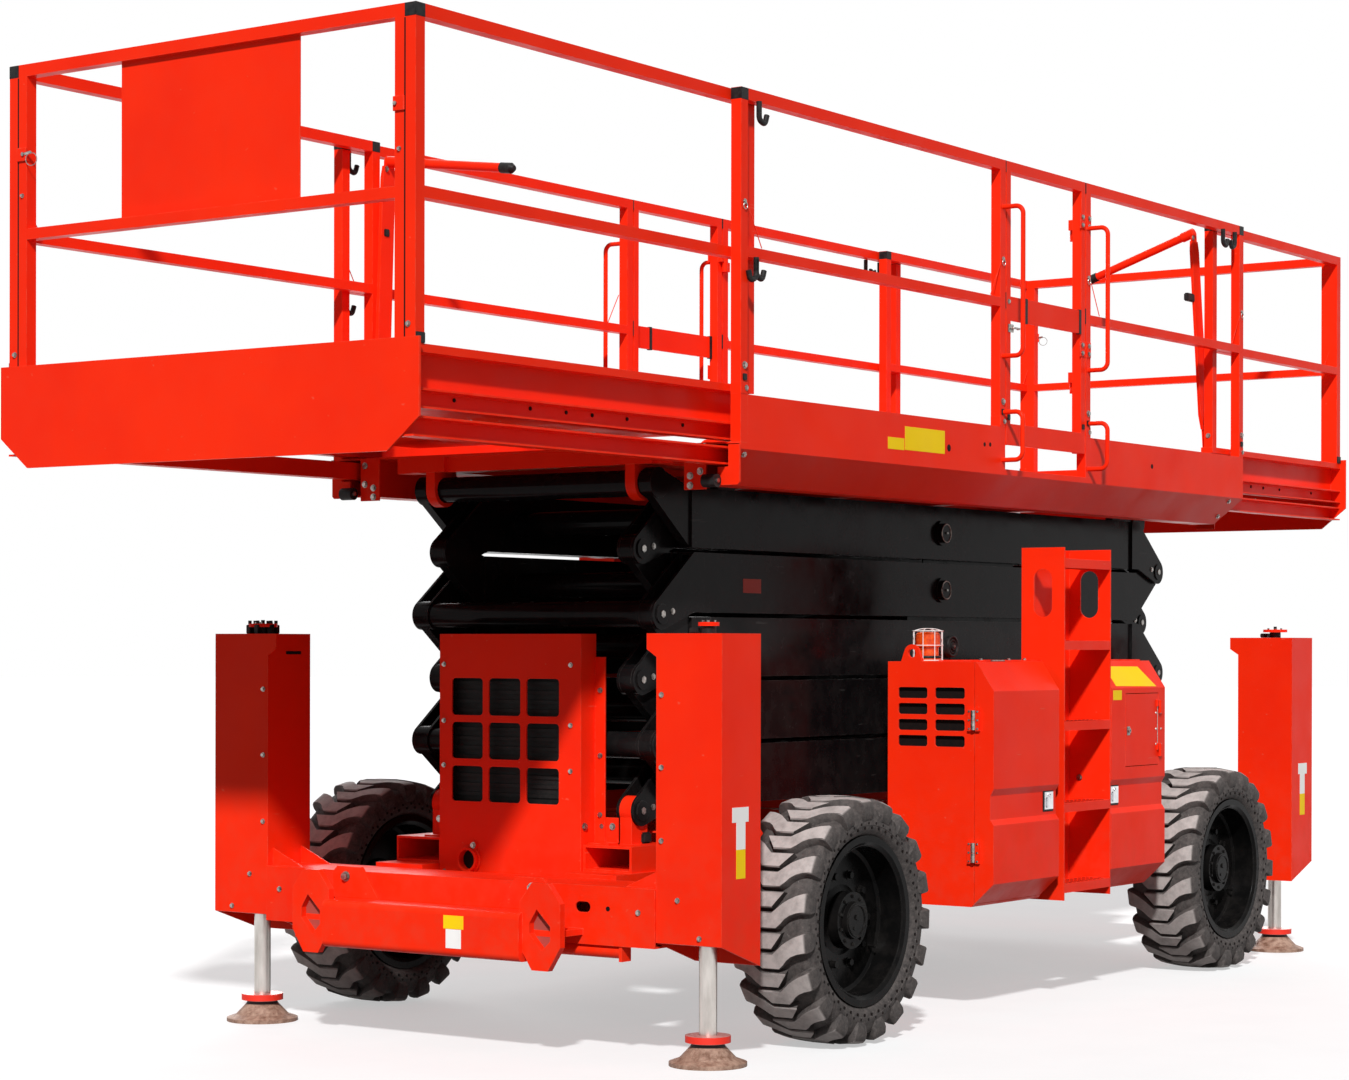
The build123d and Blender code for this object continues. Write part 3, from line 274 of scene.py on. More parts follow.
# ---------------------------------------------------------------- mesh helpers
class Piece:
    """One mesh made of many small solids, riding on one body."""

    def __init__(self, name, body, material, slot):
        self.name = name
        self.body = body
        self.material = material
        self.slot = slot
        self.mesh = bmesh.new()

    def box(self, low, high, bevel=0.0):
        made = bmesh.ops.create_cube(self.mesh, size=1.0)["verts"]
        middle = (Vector(low) + Vector(high)) / 2
        size = [abs(b - a) for a, b in zip(low, high)]
        bmesh.ops.transform(self.mesh, matrix=Matrix.Translation(middle) @ Matrix.Diagonal((*size, 1.0)),
                            verts=made)
        if bevel:
            edges = {edge for vert in made for edge in vert.link_edges}
            bmesh.ops.bevel(self.mesh, geom=list(edges), offset=bevel, segments=2, affect="EDGES")

    def rod(self, start, end, radius, sides=16, tip=None):
        """A cylinder or cone from one point to another."""
        start, end = Vector(start), Vector(end)
        turn = (end - start).to_track_quat("Z", "Y").to_matrix().to_4x4()
        place = Matrix.Translation((start + end) / 2) @ turn
        if tip is None:
            tip = radius
        bmesh.ops.create_cone(self.mesh, cap_ends=True, segments=sides, radius1=radius, radius2=tip,
                              depth=(end - start).length, matrix=place)

    def slab(self, side, xs, ys, zs, bevel=0.0):
        """A box from its ranges: X from the chassis middle, Y outwards on one side."""
        self.box(at(xs[0], side * ys[0], zs[0]), at(xs[1], side * ys[1], zs[1]), bevel)

    def stud(self, place, axis, length, radius, sides=16, tip=None):
        """A rod from a place along an axis."""
        self.rod(place, Vector(place) + Vector(axis) * length, radius, sides, tip)

    def bolt(self, place, axis, radius=0.011, high=0.008):
        """A washer and a hexagon head."""
        place, axis = Vector(place), Vector(axis).normalized()
        self.rod(place, place + axis * 0.0025, radius * 1.35, 20)
        self.rod(place + axis * 0.0025, place + axis * high, radius, 6)

    def skin(self, rows, closed=False):
        """Faces between rows of vertices, with the two ends joined or capped."""
        for a, b in zip(rows, rows[1:] + rows[:1] if closed else rows[1:]):
            for j in range(len(a)):
                k = (j + 1) % len(a)
                self.mesh.faces.new((a[j], a[k], b[k], b[j]))
        if not closed:
            self.mesh.faces.new(list(reversed(rows[0])))
            self.mesh.faces.new(rows[-1])

    def ring(self, centre, axis, radius, thick, segments=32, sides=8):
        centre, axis = Vector(centre), Vector(axis).normalized()
        side = axis.orthogonal().normalized()
        other = axis.cross(side)
        rows = []
        for angle in turns(segments):
            out = side * math.cos(angle) + other * math.sin(angle)
            rows.append([self.mesh.verts.new(centre + out * (radius + thick * math.cos(around))
                                             + axis * thick * math.sin(around)) for around in turns(sides)])
        self.skin(rows, closed=True)

    def tube(self, points, radius, sides=12, bend=0.03):
        """A round bar through the points, with its corners bent to a radius."""
        line = rounded(points, bend)
        rows = []
        normal = None
        for i, point in enumerate(line):
            way = (line[min(i + 1, len(line) - 1)] - line[max(i - 1, 0)]).normalized()
            normal = (way.orthogonal() if normal is None else normal - way * normal.dot(way)).normalized()
            other = way.cross(normal)
            outwards = [normal * math.cos(turn) + other * math.sin(turn) for turn in turns(sides)]
            rows.append([self.mesh.verts.new(point + out * radius) for out in outwards])
        self.skin(rows)

    def plate(self, corners, normal, thick):
        """A flat sheet from its corners, raised by thick along the normal."""
        lift = Vector(normal).normalized() * thick
        levels = (Vector(), lift)
        self.skin([[self.mesh.verts.new(Vector(corner) + level) for corner in corners] for level in levels])

    def done(self):
        bmesh.ops.recalc_face_normals(self.mesh, faces=self.mesh.faces)
        data = bpy.data.meshes.new(self.name)
        self.mesh.to_mesh(data)
        self.mesh.free()
        data.materials.append(self.material)
        data.shade_smooth()
        data.set_sharp_from_angle(angle=math.radians(38))
        made = bpy.data.objects.new(self.name, data)
        bpy.context.scene.collection.objects.link(made)
        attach(made, self.body)
        return made


def turns(count, shift=0.0):
    """Equal steps of a full turn, begun by a share of one step."""
    return [2 * math.pi * (step + shift) / count for step in range(count)]


def rounded(points, bend):
    """The points with each inner corner replaced by a short arc."""
    points = [Vector(p) for p in points]
    line = [points[0]]
    for before, corner, after in zip(points, points[1:], points[2:]):
        a, b = before - corner, after - corner
        cut = min(bend, a.length * 0.45, b.length * 0.45)
        start, end = corner + a.normalized() * cut, corner + b.normalized() * cut
        for step in range(7):
            t = step / 6
            line.append(start * (1 - t) ** 2 + corner * 2 * t * (1 - t) + end * t ** 2)
    line.append(points[-1])
    return line


# ---------------------------------------------------------------- small fittings
def at(x, y, z):
    """A place whose X is given from the chassis middle."""
    return MID_X + x, y, z


TRIM = {"zinc": (zinc, "jack_steel"), "cap": (cap_black, "core_black"), "hole": (hole_dark, "core_black"),
        "red": (red, "body_red"), "black": (black_arm, "arm_black"), "hub": (black_rim, "rim_black"),
        "bronze": (bronze, "jack_steel"), "yellow": (yellow, None), "white": (white, None),
        "brick": (brick, None), "chrome": (chrome, "chrome")}
gathered = {}


def on(body, trim):
    """The mesh that gathers one body's small fittings of one finish."""
    if (body, trim) not in gathered:
        gathered[body, trim] = Piece(f"{body}_{trim}", body, *TRIM[trim])
    return gathered[body, trim]


def fittings(body, *trims):
    """One body's gathered meshes, in the order of the finishes asked for."""
    return [on(body, trim) for trim in trims]


def hook(piece, place, along, side):
    """A black hook of round bar under a rail: down, along the rail and up again."""
    x, y, z = place
    out = 0.010 * side
    line = [(x, y + out, z), (x, y + out, z - 0.060), (x + along * 0.034, y + out, z - 0.072),
            (x + along * 0.046, y + out, z - 0.040)]
    piece.tube(line, 0.0095, 12, 0.015)


def pin_and_ring(body, place, side):
    """The head of a lock pin on a post, with its pull ring."""
    x, y, z = place
    steel = on(body, "zinc")
    steel.stud(place, (0, side, 0), 0.003, 0.009)
    steel.stud((x, y + side * 0.003, z), (0, side, 0), 0.003, 0.0055, 12)
    steel.ring((x, y + side * 0.0045, z - 0.014), ACROSS, 0.011, 0.0014, 20, 6)


# ---------------------------------------------------------------- outriggers and front frame
JACK_X = (("front", 2.214, 1), ("rear", -2.170, -1))
JACK_Y = 0.960
JACK_TOP = 1.3705
HOUSING_BOLTS = ((0.855, 1.176), (0.855, 0.946), (0.855, 0.714), (0.918, 0.528), (1.002, 0.412))


def polar(x, y, radius, turn):
    """X and Y at an angle about a centre."""
    return x + radius * math.cos(turn), y + radius * math.sin(turn)


def outriggers():
    steel, cap, red_trim = fittings("chassis", "zinc", "cap", "red")
    for end, jack_x, out in JACK_X:
        face = jack_x + out * 0.109
        for label, side in SIDES:
            for y, z in HOUSING_BOLTS:
                steel.bolt(at(face, side * y, z), (out, 0, 0), 0.0065)
            steel.bolt(at(jack_x + out * 0.116, side * 0.770, 0.482), (out, 0, 0), 0.007)
            if end == "front":
                # thin near-black strip on the housing: painted shade of a gap
                on("chassis", "hole").slab(side, (2.154, 2.231), (0.8330, 0.8345), (1.298, 1.309))
            # jack head: black sleeve, three screws and a stud
            jack_y = side * JACK_Y
            head_r = 0.034 if (end, label) == ("front", "left") else 0.052
            cap.rod(at(jack_x, jack_y, JACK_TOP), at(jack_x, jack_y, 1.3935), 0.024, 24)
            cap.slab(1, (jack_x - 0.022, jack_x + 0.022), (jack_y - 0.062, jack_y - 0.030), (JACK_TOP, 1.389),
                     0.003)
            for degrees in (30, 150, 270):
                screw = at(*polar(jack_x, jack_y, head_r * 0.62, math.radians(degrees)), 1.406)
                steel.stud(screw, UP, 0.006, 0.005, 6)
            cap.stud(at(jack_x, jack_y, 1.406), UP, 0.013, 0.007, 12)
            # ring of black blocks on the front right head
            if (end, label) == ("front", "right"):
                for step in range(6):
                    x, y = polar(jack_x, jack_y, 0.046, math.radians(60 * step + 20))
                    cap.slab(1, (x - 0.010, x + 0.010), (y - 0.010, y + 0.010), (JACK_TOP, 1.402), 0.002)
                    cap.stud(at(x, y, 1.405), UP, 0.012, 0.0065, 6)
            # plates on the housing's outer side
            white_plates, yellow_plates = fittings("chassis", "white", "yellow")
            plates = ((-0.040, 0.052, 0.776, 0.823, white_plates),
                      (-0.022, 0.029, 0.690, 0.776, white_plates),
                      (-0.022, 0.029, 0.598, 0.690, yellow_plates))
            for x0, x1, z0, z1, piece in plates:
                x0, x1 = sorted((jack_x + out * x0, jack_x + out * x1))
                piece.slab(side, (x0, x1), (1.086, 1.0868), (z0, z1))
            # guide collar of the jack under the housing
            red_trim.ring(at(jack_x, jack_y, 0.421), UP, 0.052, 0.008, 36, 8)


PANEL_BOLTS = ((-0.287, 1.265), (-0.287, 1.070), (-0.287, 0.916), (-0.285, 0.548),
               (0.264, 1.265), (0.264, 1.062), (0.264, 0.908), (0.285, 0.548))
POCKET_TOP = 0.6615


def front_frame():
    steel, cap, hole, red_trim, brick_trim = fittings("chassis", "zinc", "cap", "hole", "red", "brick")
    for y, z in PANEL_BOLTS:
        steel.bolt(at(2.020, y, z), FORWARD, 0.0062)
    for side in BOTH:
        steel.bolt(at(2.000, side * 0.307, 0.722), (0, side, 0), 0.010)
        for z in (0.760, 0.960, 1.180):
            steel.bolt(at(1.942, side * 0.330, z), FORWARD, 0.007)
        steel.bolt(at(2.402, side * 0.400, 0.548), FORWARD, 0.013, 0.014)
        # hole in the arm's face, drawn as a near-black disc of painted shade
        hole.stud(at(2.330, side * 0.650, 0.488), FORWARD, 0.0006, 0.008)
        # bolted angle on the fork pocket
        red_trim.slab(side, (1.930, 1.990), (0.314, 0.400), (POCKET_TOP, 0.668))
        red_trim.slab(side, (1.930, 1.936), (0.314, 0.400), (POCKET_TOP, 0.752), 0.001)
        for y in (0.336, 0.378):
            steel.bolt(at(1.936, side * y, 0.722), FORWARD, 0.009)
        # dull red web behind the opening of each bumper end plate: painted shade that fills the opening
        brick_trim.slab(side, (2.446, 2.4545), (0.440, 0.540), (0.348, 0.504))
        # hose clamp blocks behind the pocket
        cap.slab(side, (1.800, 1.850), (0.395, 0.445), (POCKET_TOP, 0.700), 0.006)
    # exhaust clamp with its two ears
    x, y, z = at(2.024, -0.170, 0.593)
    red_trim.ring((x, y, z), FORWARD, 0.0445, 0.005, 40, 8)
    for out in BOTH:
        ear_y, ear_z = y + 0.020 * out, z + 0.050 * out
        red_trim.stud((x - 0.004, ear_y, ear_z), FORWARD, 0.008, 0.014, 20)
        steel.bolt((x + 0.004, ear_y, ear_z), FORWARD, 0.008)
    # the pipe's bore: a near-black disc of painted shade
    hole.stud(at(2.0145, -0.170, 0.593), FORWARD, 0.0015, 0.0335, 32)
    on("chassis", "yellow").slab(1, (2.500, 2.5007), (0.109, 0.193), (0.408, 0.452))
    on("chassis", "white").slab(1, (2.500, 2.5007), (0.119, 0.183), (0.345, 0.407))


# ---------------------------------------------------------------- cabinets, doors, ladders
CAB_END_X = (("front", 0.666, 1), ("rear", -0.720, -1))
HINGE_Z = (0.560, 1.035)
HINGE_Y = 1.0515
LEAF = 0.0112                       # how far a hinge's leaf stands off the cabinet
TOP_Z = 1.2745


def cabinets():
    steel, cap, red_trim = fittings("chassis", "zinc", "cap", "red")
    for label, side in SIDES:
        for end, face, out in CAB_END_X:
            door = f"door_{end}_{label}"
            pin_x = face + out * 0.010
            for z in HINGE_Z:
                # plated sleeves over the knuckles, hinge leaves and their rivets
                steel.stud(at(pin_x, side * HINGE_Y, z - 0.004), UP, 0.0336, 0.0094, 24)
                on(door, "zinc").stud(at(pin_x, side * HINGE_Y, z + 0.0314), UP, 0.0346, 0.0094, 24)
                for body, y in (("chassis", 1.0345), (door, 1.0685)):
                    leaf = sorted((face, face + out * LEAF))
                    on(body, "red").slab(side, leaf, (y - 0.0075, y + 0.0075), (z - 0.008, z + 0.070))
                    for up in (0.000, 0.031, 0.062):
                        rivet = at(face + out * LEAF, side * y, z + up)
                        on(body, "zinc").stud(rivet, (out, 0, 0), 0.003, 0.0045, 12, 0.003)
        # compression latches in the waist band of each door
        for end, x in (("front", 0.232), ("rear", -0.300)):
            dark, bright = fittings(f"door_{end}_{label}", "cap", "chrome")
            dark.slab(side, (x - 0.040, x + 0.040), (1.116, 1.118), (0.722, 0.802), 0.001)
            bright.slab(side, (x - 0.034, x + 0.034), (1.118, 1.122), (0.728, 0.796), 0.002)
            bright.slab(side, (x - 0.022, x + 0.022), (1.122, 1.128), (0.736, 0.774), 0.004)
            bright.stud(at(x, side * 1.122, 0.784), (0, side, 0), 0.004, 0.007)
            dark.stud(at(x, side * 1.126, 0.784), (0, side, 0), 0.0005, 0.003, 12)
        # near-black sheet behind the louvres: painted shade of the cabinet's inside
        on("chassis", "hole").slab(side, (0.6460, 0.6505), (0.700, 1.040), (0.900, 1.230))
        # lids on the cabinet's top, with screws and a hinge pin
        red_trim.slab(side, (0.085, 0.566), (0.740, 1.036), (TOP_Z, 1.280), 0.001)
        for x in (0.12, 0.20, 0.32, 0.53):
            steel.bolt(at(x, side * 1.000, 1.280), UP, 0.006, 0.007)
        steel.stud(at(0.430, side * 1.041, 1.278), FORWARD, 0.095, 0.004, 12)
        red_trim.slab(side, (-0.690, -0.290), (0.740, 1.036), (TOP_Z, 1.280), 0.001)
        # bolts that hold the cabinet to its brackets, under the waist
        for x in (0.420, -0.480):
            steel.bolt(at(x, side * 0.600, 0.600), UP, 0.010)
        # upright seals of the recess
        for x, way in ((0.165, -1), (-0.252, 1)):
            cap.slab(side, (x, x + way * 0.003), (0.952, 0.968), (0.560, 1.180))
    # yellow plates on the rear left door: one on the slope, one beside the hatch
    corners = [(-0.306, 0.92), (-0.300, 0.20), (-0.585, 0.22), (-0.648, 0.96)]
    place = [at(x, 1.060 + 0.070 * t, 1.275 - 0.105 * t) for x, t in corners]
    on("door_rear_left", "yellow").plate(place, (0.0, 0.105, 0.070), 0.0008)
    on("door_rear_left", "yellow").slab(1, (-0.342, -0.270), (1.130, 1.1308), (1.125, 1.1625))
    # control hatch: lock, hinge rivets and hinge pin
    lock = on("control_hatch", "zinc")
    lock.slab(1, (-0.410, -0.386), (1.130, 1.133), (0.988, 1.022), 0.001)
    lock.stud(at(-0.398, 1.133, 1.006), ACROSS, 0.006, 0.009, 20)
    on("control_hatch", "cap").stud(at(-0.398, 1.139, 1.006), ACROSS, 0.0005, 0.004, 12)
    for z in (0.948, 1.008, 1.071):
        lock.stud(at(-0.640, 1.130, z), ACROSS, 0.0025, 0.005, 12, 0.0035)
        on("door_rear_left", "zinc").stud(at(-0.684, 1.130, z), ACROSS, 0.0025, 0.004, 12, 0.003)
    lock.stud(at(-0.6515, 1.1310, 0.925), UP, 0.17, 0.0016, 8)


LAMP_X, LAMP_Y = 0.550, 0.790
CAGE_R = 0.056
CAGE_TOP = 1.3865


def lamp_and_horn():
    """The wire cage over the beacon, and the horn beside it."""
    wire = on("chassis", "white")
    for z, thick in ((1.279, 0.0017), (1.334, 0.0013), (CAGE_TOP, 0.0017)):
        wire.ring(at(LAMP_X, LAMP_Y, z), UP, CAGE_R, thick, 40, 8)
    for step in range(8):
        turn = math.radians(45 * step + 12)
        x, y = polar(LAMP_X, LAMP_Y, CAGE_R, turn)
        wire.rod(at(x, y, 1.2765), at(x, y, CAGE_TOP), 0.0014, 8)
        half = at(*polar(LAMP_X, LAMP_Y, CAGE_R / 2, turn), 1.3945)
        wire.tube([at(x, y, CAGE_TOP), half, at(LAMP_X, LAMP_Y, 1.3955)], 0.0013, 8, 0.02)
    on("chassis", "cap").ring(at(LAMP_X, LAMP_Y, 1.290), UP, 0.044, 0.006, 36, 8)
    horn = on("chassis", "cap")
    x, z = 0.318, 1.330
    for y, radius in ((0.690, 0.024), (0.712, 0.036), (0.730, 0.031), (0.744, 0.041)):
        horn.stud(at(x, y, z), ACROSS, 0.016, radius, 32)
    horn.ring(at(x, 0.761, z), ACROSS, 0.036, 0.005, 36, 8)
    horn.ring(at(x, 0.761, z), ACROSS, 0.024, 0.003, 36, 8)
    horn.stud(at(x, 0.760, z), ACROSS, 0.008, 0.014, 24)
    horn.slab(1, (x - 0.012, x + 0.012), (0.725, 0.745), (TOP_Z, 1.305), 0.002)
    on("chassis", "zinc").bolt(at(x, 0.768, z), ACROSS, 0.004, 0.004)


TREAD_Z = (0.447, 0.747, 1.051, 1.352, 1.658)


def ladders():
    """Near-black discs on the treads as painted shade of their holes, and the brackets' bolts."""
    steel, hole = fittings("chassis", "zinc", "hole")
    for side in BOTH:
        for z in TREAD_Z:
            for row, y in enumerate((1.045, 1.070, 1.095, 1.115)):
                for step in range(11):
                    x = -0.225 + 0.0325 * step + (0.016 if row % 2 else 0.0)
                    hole.stud(at(x, side * y, z), UP, 0.0005, 0.0065, 10)
        steel.bolt(at(-0.244, side * 1.000, 0.827), FORWARD, 0.009)
        steel.bolt(at(0.124, side * 1.000, 0.827), (-1, 0, 0), 0.009)
        steel.bolt(at(0.130, side * 1.000, 0.600), FORWARD, 0.008)


# ---------------------------------------------------------------- scissor arms
PIN0_Z = 0.774
PITCH = 0.221
FRONT_PIN_X = 1.860
REAR_PIN_X = -1.900


def arms():
    for level in range(1, 6):
        low = PIN0_Z + (level - 1) * PITCH
        middle_z = low + PITCH / 2
        inner, outer = f"arm_inner_{level}", f"arm_outer_{level}"
        for side in BOTH:
            # retaining ring and grease nipple on the middle pin
            on(inner, "bronze").ring(at(-0.020, side * 0.5395, middle_z), ACROSS, 0.0345, 0.0028, 40, 8)
            on(inner, "zinc").stud(at(-0.020, side * 0.539, middle_z), (0, side, 0), 0.007, 0.004, 10)
            # pin heads with keeper bolts at the forked ends
            for body, band, x in ((inner, 0.410, FRONT_PIN_X if level % 2 else REAR_PIN_X),
                                  (outer, 0.490, REAR_PIN_X if level % 2 else FRONT_PIN_X)):
                inwards = -1 if x > 0 else 1
                face = side * (band + 0.040)
                on(body, "zinc").stud(at(x, face, low), (0, side, 0), 0.003, 0.013, 6)
                keeper = at(x + inwards * 0.062, side * (band + 0.035), low + 0.010)
                on(body, "zinc").bolt(keeper, (0, side, 0), 0.008, 0.006)
    # black strips behind the upper edge of two arms: painted shade that closes the see-through gaps between
    # the arms
    for level, x0, x1 in ((3, -0.86, 0.14), (4, -0.70, 0.02)):
        edge = PIN0_Z + level * PITCH - 0.008
        for side in BOTH:
            bar = on(f"arm_outer_{level}", "black")
            bar.slab(side, (x0, x1), (0.4540, 0.4590), (edge - 0.012, edge + 0.024))
            bar.slab(side, (x0, x1), (0.4580, 0.4660), (edge - 0.012, edge - 0.002))
    # dull plate on one arm and stop blocks on the top arm
    on("arm_outer_4", "brick").slab(1, (1.244, 1.357), (0.515, 0.5158), (1.516, 1.565))
    for side in BOTH:
        for x in (-1.55, 1.45):
            on("arm_outer_5", "cap").slab(side, (x - 0.055, x + 0.055), (0.472, 0.508), (1.8705, 1.884),
                                          0.003)


# ---------------------------------------------------------------- platform
RAIL_Y = 0.886
RAIL_TOP = 3.1578
GATE_HINGE_Z = (2.500, 3.003)
POSTS_X = (-1.972, -0.531, 0.163, 1.905)


def platform():
    steel, cap, hole, red_trim = fittings("platform", "zinc", "cap", "hole", "red")
    for side in BOTH:
        for x in POSTS_X:
            # socket at the post's foot, its black stop and its two bolts
            red_trim.slab(side, (x - 0.0205, x + 0.0205), (RAIL_Y - 0.0405, RAIL_Y + 0.0012), (2.156, 2.196),
                          0.0006)
            cap.slab(side, (x - 0.011, x + 0.011), (RAIL_Y, RAIL_Y + 0.006), (2.200, 2.222), 0.002)
            steel.bolt(at(x, side * RAIL_Y, 2.250), (0, side, 0), 0.009)
            steel.bolt(at(x - 0.010, side * (RAIL_Y + 0.0012), 2.176), (0, side, 0), 0.007, 0.006)
        # rubber strips in the joints beside the gate
        for x0, x1 in ((0.1385, 0.1430), (-0.5110, -0.5070)):
            for z0, z1 in ((3.116, RAIL_TOP), (2.602, 2.662)):
                cap.slab(side, (x0, x1), (RAIL_Y - 0.041, RAIL_Y + 0.0008), (z0, z1))
        # gate hinge leaves on the fixed rail, two bolts each
        for z in GATE_HINGE_Z:
            red_trim.slab(side, (-0.5495, -0.5135), (RAIL_Y, RAIL_Y + 0.003), (z - 0.030, z + 0.030), 0.001)
            for up in (-0.016, 0.016):
                steel.bolt(at(-0.532, side * (RAIL_Y + 0.003), z + up), (0, side, 0), 0.007, 0.006)
        # end caps, hooks and lock pins of the fixed rails
        for x in (1.9045, -1.9715):
            cap.slab(side, (x - 0.0212, x + 0.0212), (RAIL_Y - 0.0412, RAIL_Y + 0.0012), (3.119, RAIL_TOP),
                     0.001)
        for x, z, along in ((1.835, 3.121, -1), (1.850, 2.607, -1), (1.850, 2.600, 1), (-1.880, 3.121, 1),
                            (-1.760, 3.121, -1)):
            hook(cap, at(x, side * RAIL_Y, z), along, side)
        for x in reversed(POSTS_X):
            pin_and_ring("platform", at(x, side * RAIL_Y, 2.785), side)
        for x0, x1 in ((0.185, 0.262), (-0.552, -0.622), (-1.950, -1.872), (1.884, 1.806)):
            red_trim.rod(at(x0, side * (RAIL_Y + 0.002), 2.766), at(x1, side * (RAIL_Y + 0.002), 2.642),
                         0.0018, 8)
        # toe board: round holes drawn as near-black discs of painted shade, and the bolts in its sloping foot
        for x, z, radius in ((0.566, 2.053, 0.013), (0.301, 2.081, 0.008), (0.259, 2.083, 0.008),
                             (-1.10, 2.070, 0.010)):
            hole.stud(at(x, side * RAIL_Y, z), (0, side, 0), 0.0006, radius, 20)
        for x, t in ((-1.870, 0.86), (-1.862, 0.30), (1.890, 0.86), (1.890, 0.30)):
            steel.bolt(at(x, side * (0.800 + 0.086 * t), 1.862 + 0.113 * t), (0.0, side * 0.795, -0.606),
                       0.008)
        # bolted bracket at each end of the slide, with a roller at the front
        for face, out in ((1.925, 1), (-1.992, -1)):
            x0, x1 = sorted((face - out * 0.001, face + out * 0.006))
            red_trim.slab(side, (x0, x1), (0.664, 0.752), (1.846, 1.998), 0.001)
            for y, z in ((0.730, 1.972), (0.730, 1.906), (0.690, 1.892), (0.690, 1.860)):
                steel.bolt(at(face + out * 0.006, side * y, z), (out, 0, 0), 0.009)
            if out > 0:
                cap.stud(at(face + 0.030, side * 0.762, 1.872), (0, side, 0), 0.053, 0.022, 32)
                steel.stud(at(face + 0.030, side * 0.757, 1.872), (0, side, 0), 0.063, 0.008)
    # yellow plates on the left toe board
    for x0, x1, z0, z1 in ((0.597, 0.879, 2.029, 2.113), (0.884, 0.996, 2.027, 2.069)):
        on("platform", "yellow").slab(1, (x0, x1), (RAIL_Y, RAIL_Y + 0.0008), (z0, z1))


def tread_pattern(piece, x_run, y_half, z, step=0.062):
    """Rows of raised bars, turned a quarter from one to the next, for grip."""
    row, x = 0, x_run[0] + step / 2
    while x < x_run[1] - step / 3:
        column, y = 0, -y_half + step / 2
        while y < y_half - step / 3:
            long, wide = (0.016, 0.004) if (row + column) % 2 else (0.004, 0.016)
            corners = ((-long, -wide), (long, -wide), (long, wide), (-long, wide))
            piece.plate([at(x + dx, y + dy, z) for dx, dy in corners], UP, 0.0018)
            column += 1
            y += step
        row += 1
        x += step


def gates():
    for label, side in SIDES:
        red_trim, steel, cap = fittings(f"gate_{label}", "red", "zinc", "cap")
        # hinge leaves, two bolts each
        for z in GATE_HINGE_Z:
            red_trim.slab(side, (-0.5025, -0.4580), (RAIL_Y, RAIL_Y + 0.003), (z - 0.030, z + 0.030), 0.001)
            for up in (-0.016, 0.016):
                steel.bolt(at(-0.476, side * (RAIL_Y + 0.003), z + up), (0, side, 0), 0.007, 0.006)
        # black ends of the middle bar, the latch and the posts' stops
        for x0, x1 in ((-0.030, -0.012), (-0.470, -0.452)):
            cap.slab(side, (x0, x1), (RAIL_Y - 0.014, RAIL_Y + 0.002), (2.557, 2.653), 0.001)
        steel.slab(side, (0.085, 0.125), (RAIL_Y, RAIL_Y + 0.004), (2.515, 2.545), 0.001)
        handle = ((0.060, 0.004), (0.060, 0.016), (0.105, 0.016), (0.105, 0.004))
        steel.tube([at(x, side * (RAIL_Y + out), 2.530) for x, out in handle], 0.004, 10, 0.008)
        steel.bolt(at(0.119, side * RAIL_Y, 2.630), (0, side, 0), 0.007, 0.006)
        for x in (-0.487, 0.119):
            cap.slab(side, (x - 0.010, x + 0.010), (RAIL_Y, RAIL_Y + 0.005), (2.1835, 2.205), 0.002)


# ---------------------------------------------------------------- extension decks
DECK_Y = 0.838
# blade of a push bar's lever: (height, half its width)
BLADE = ((3.072, 0.026), (3.030, 0.034), (2.330, 0.036), (2.270, 0.018))


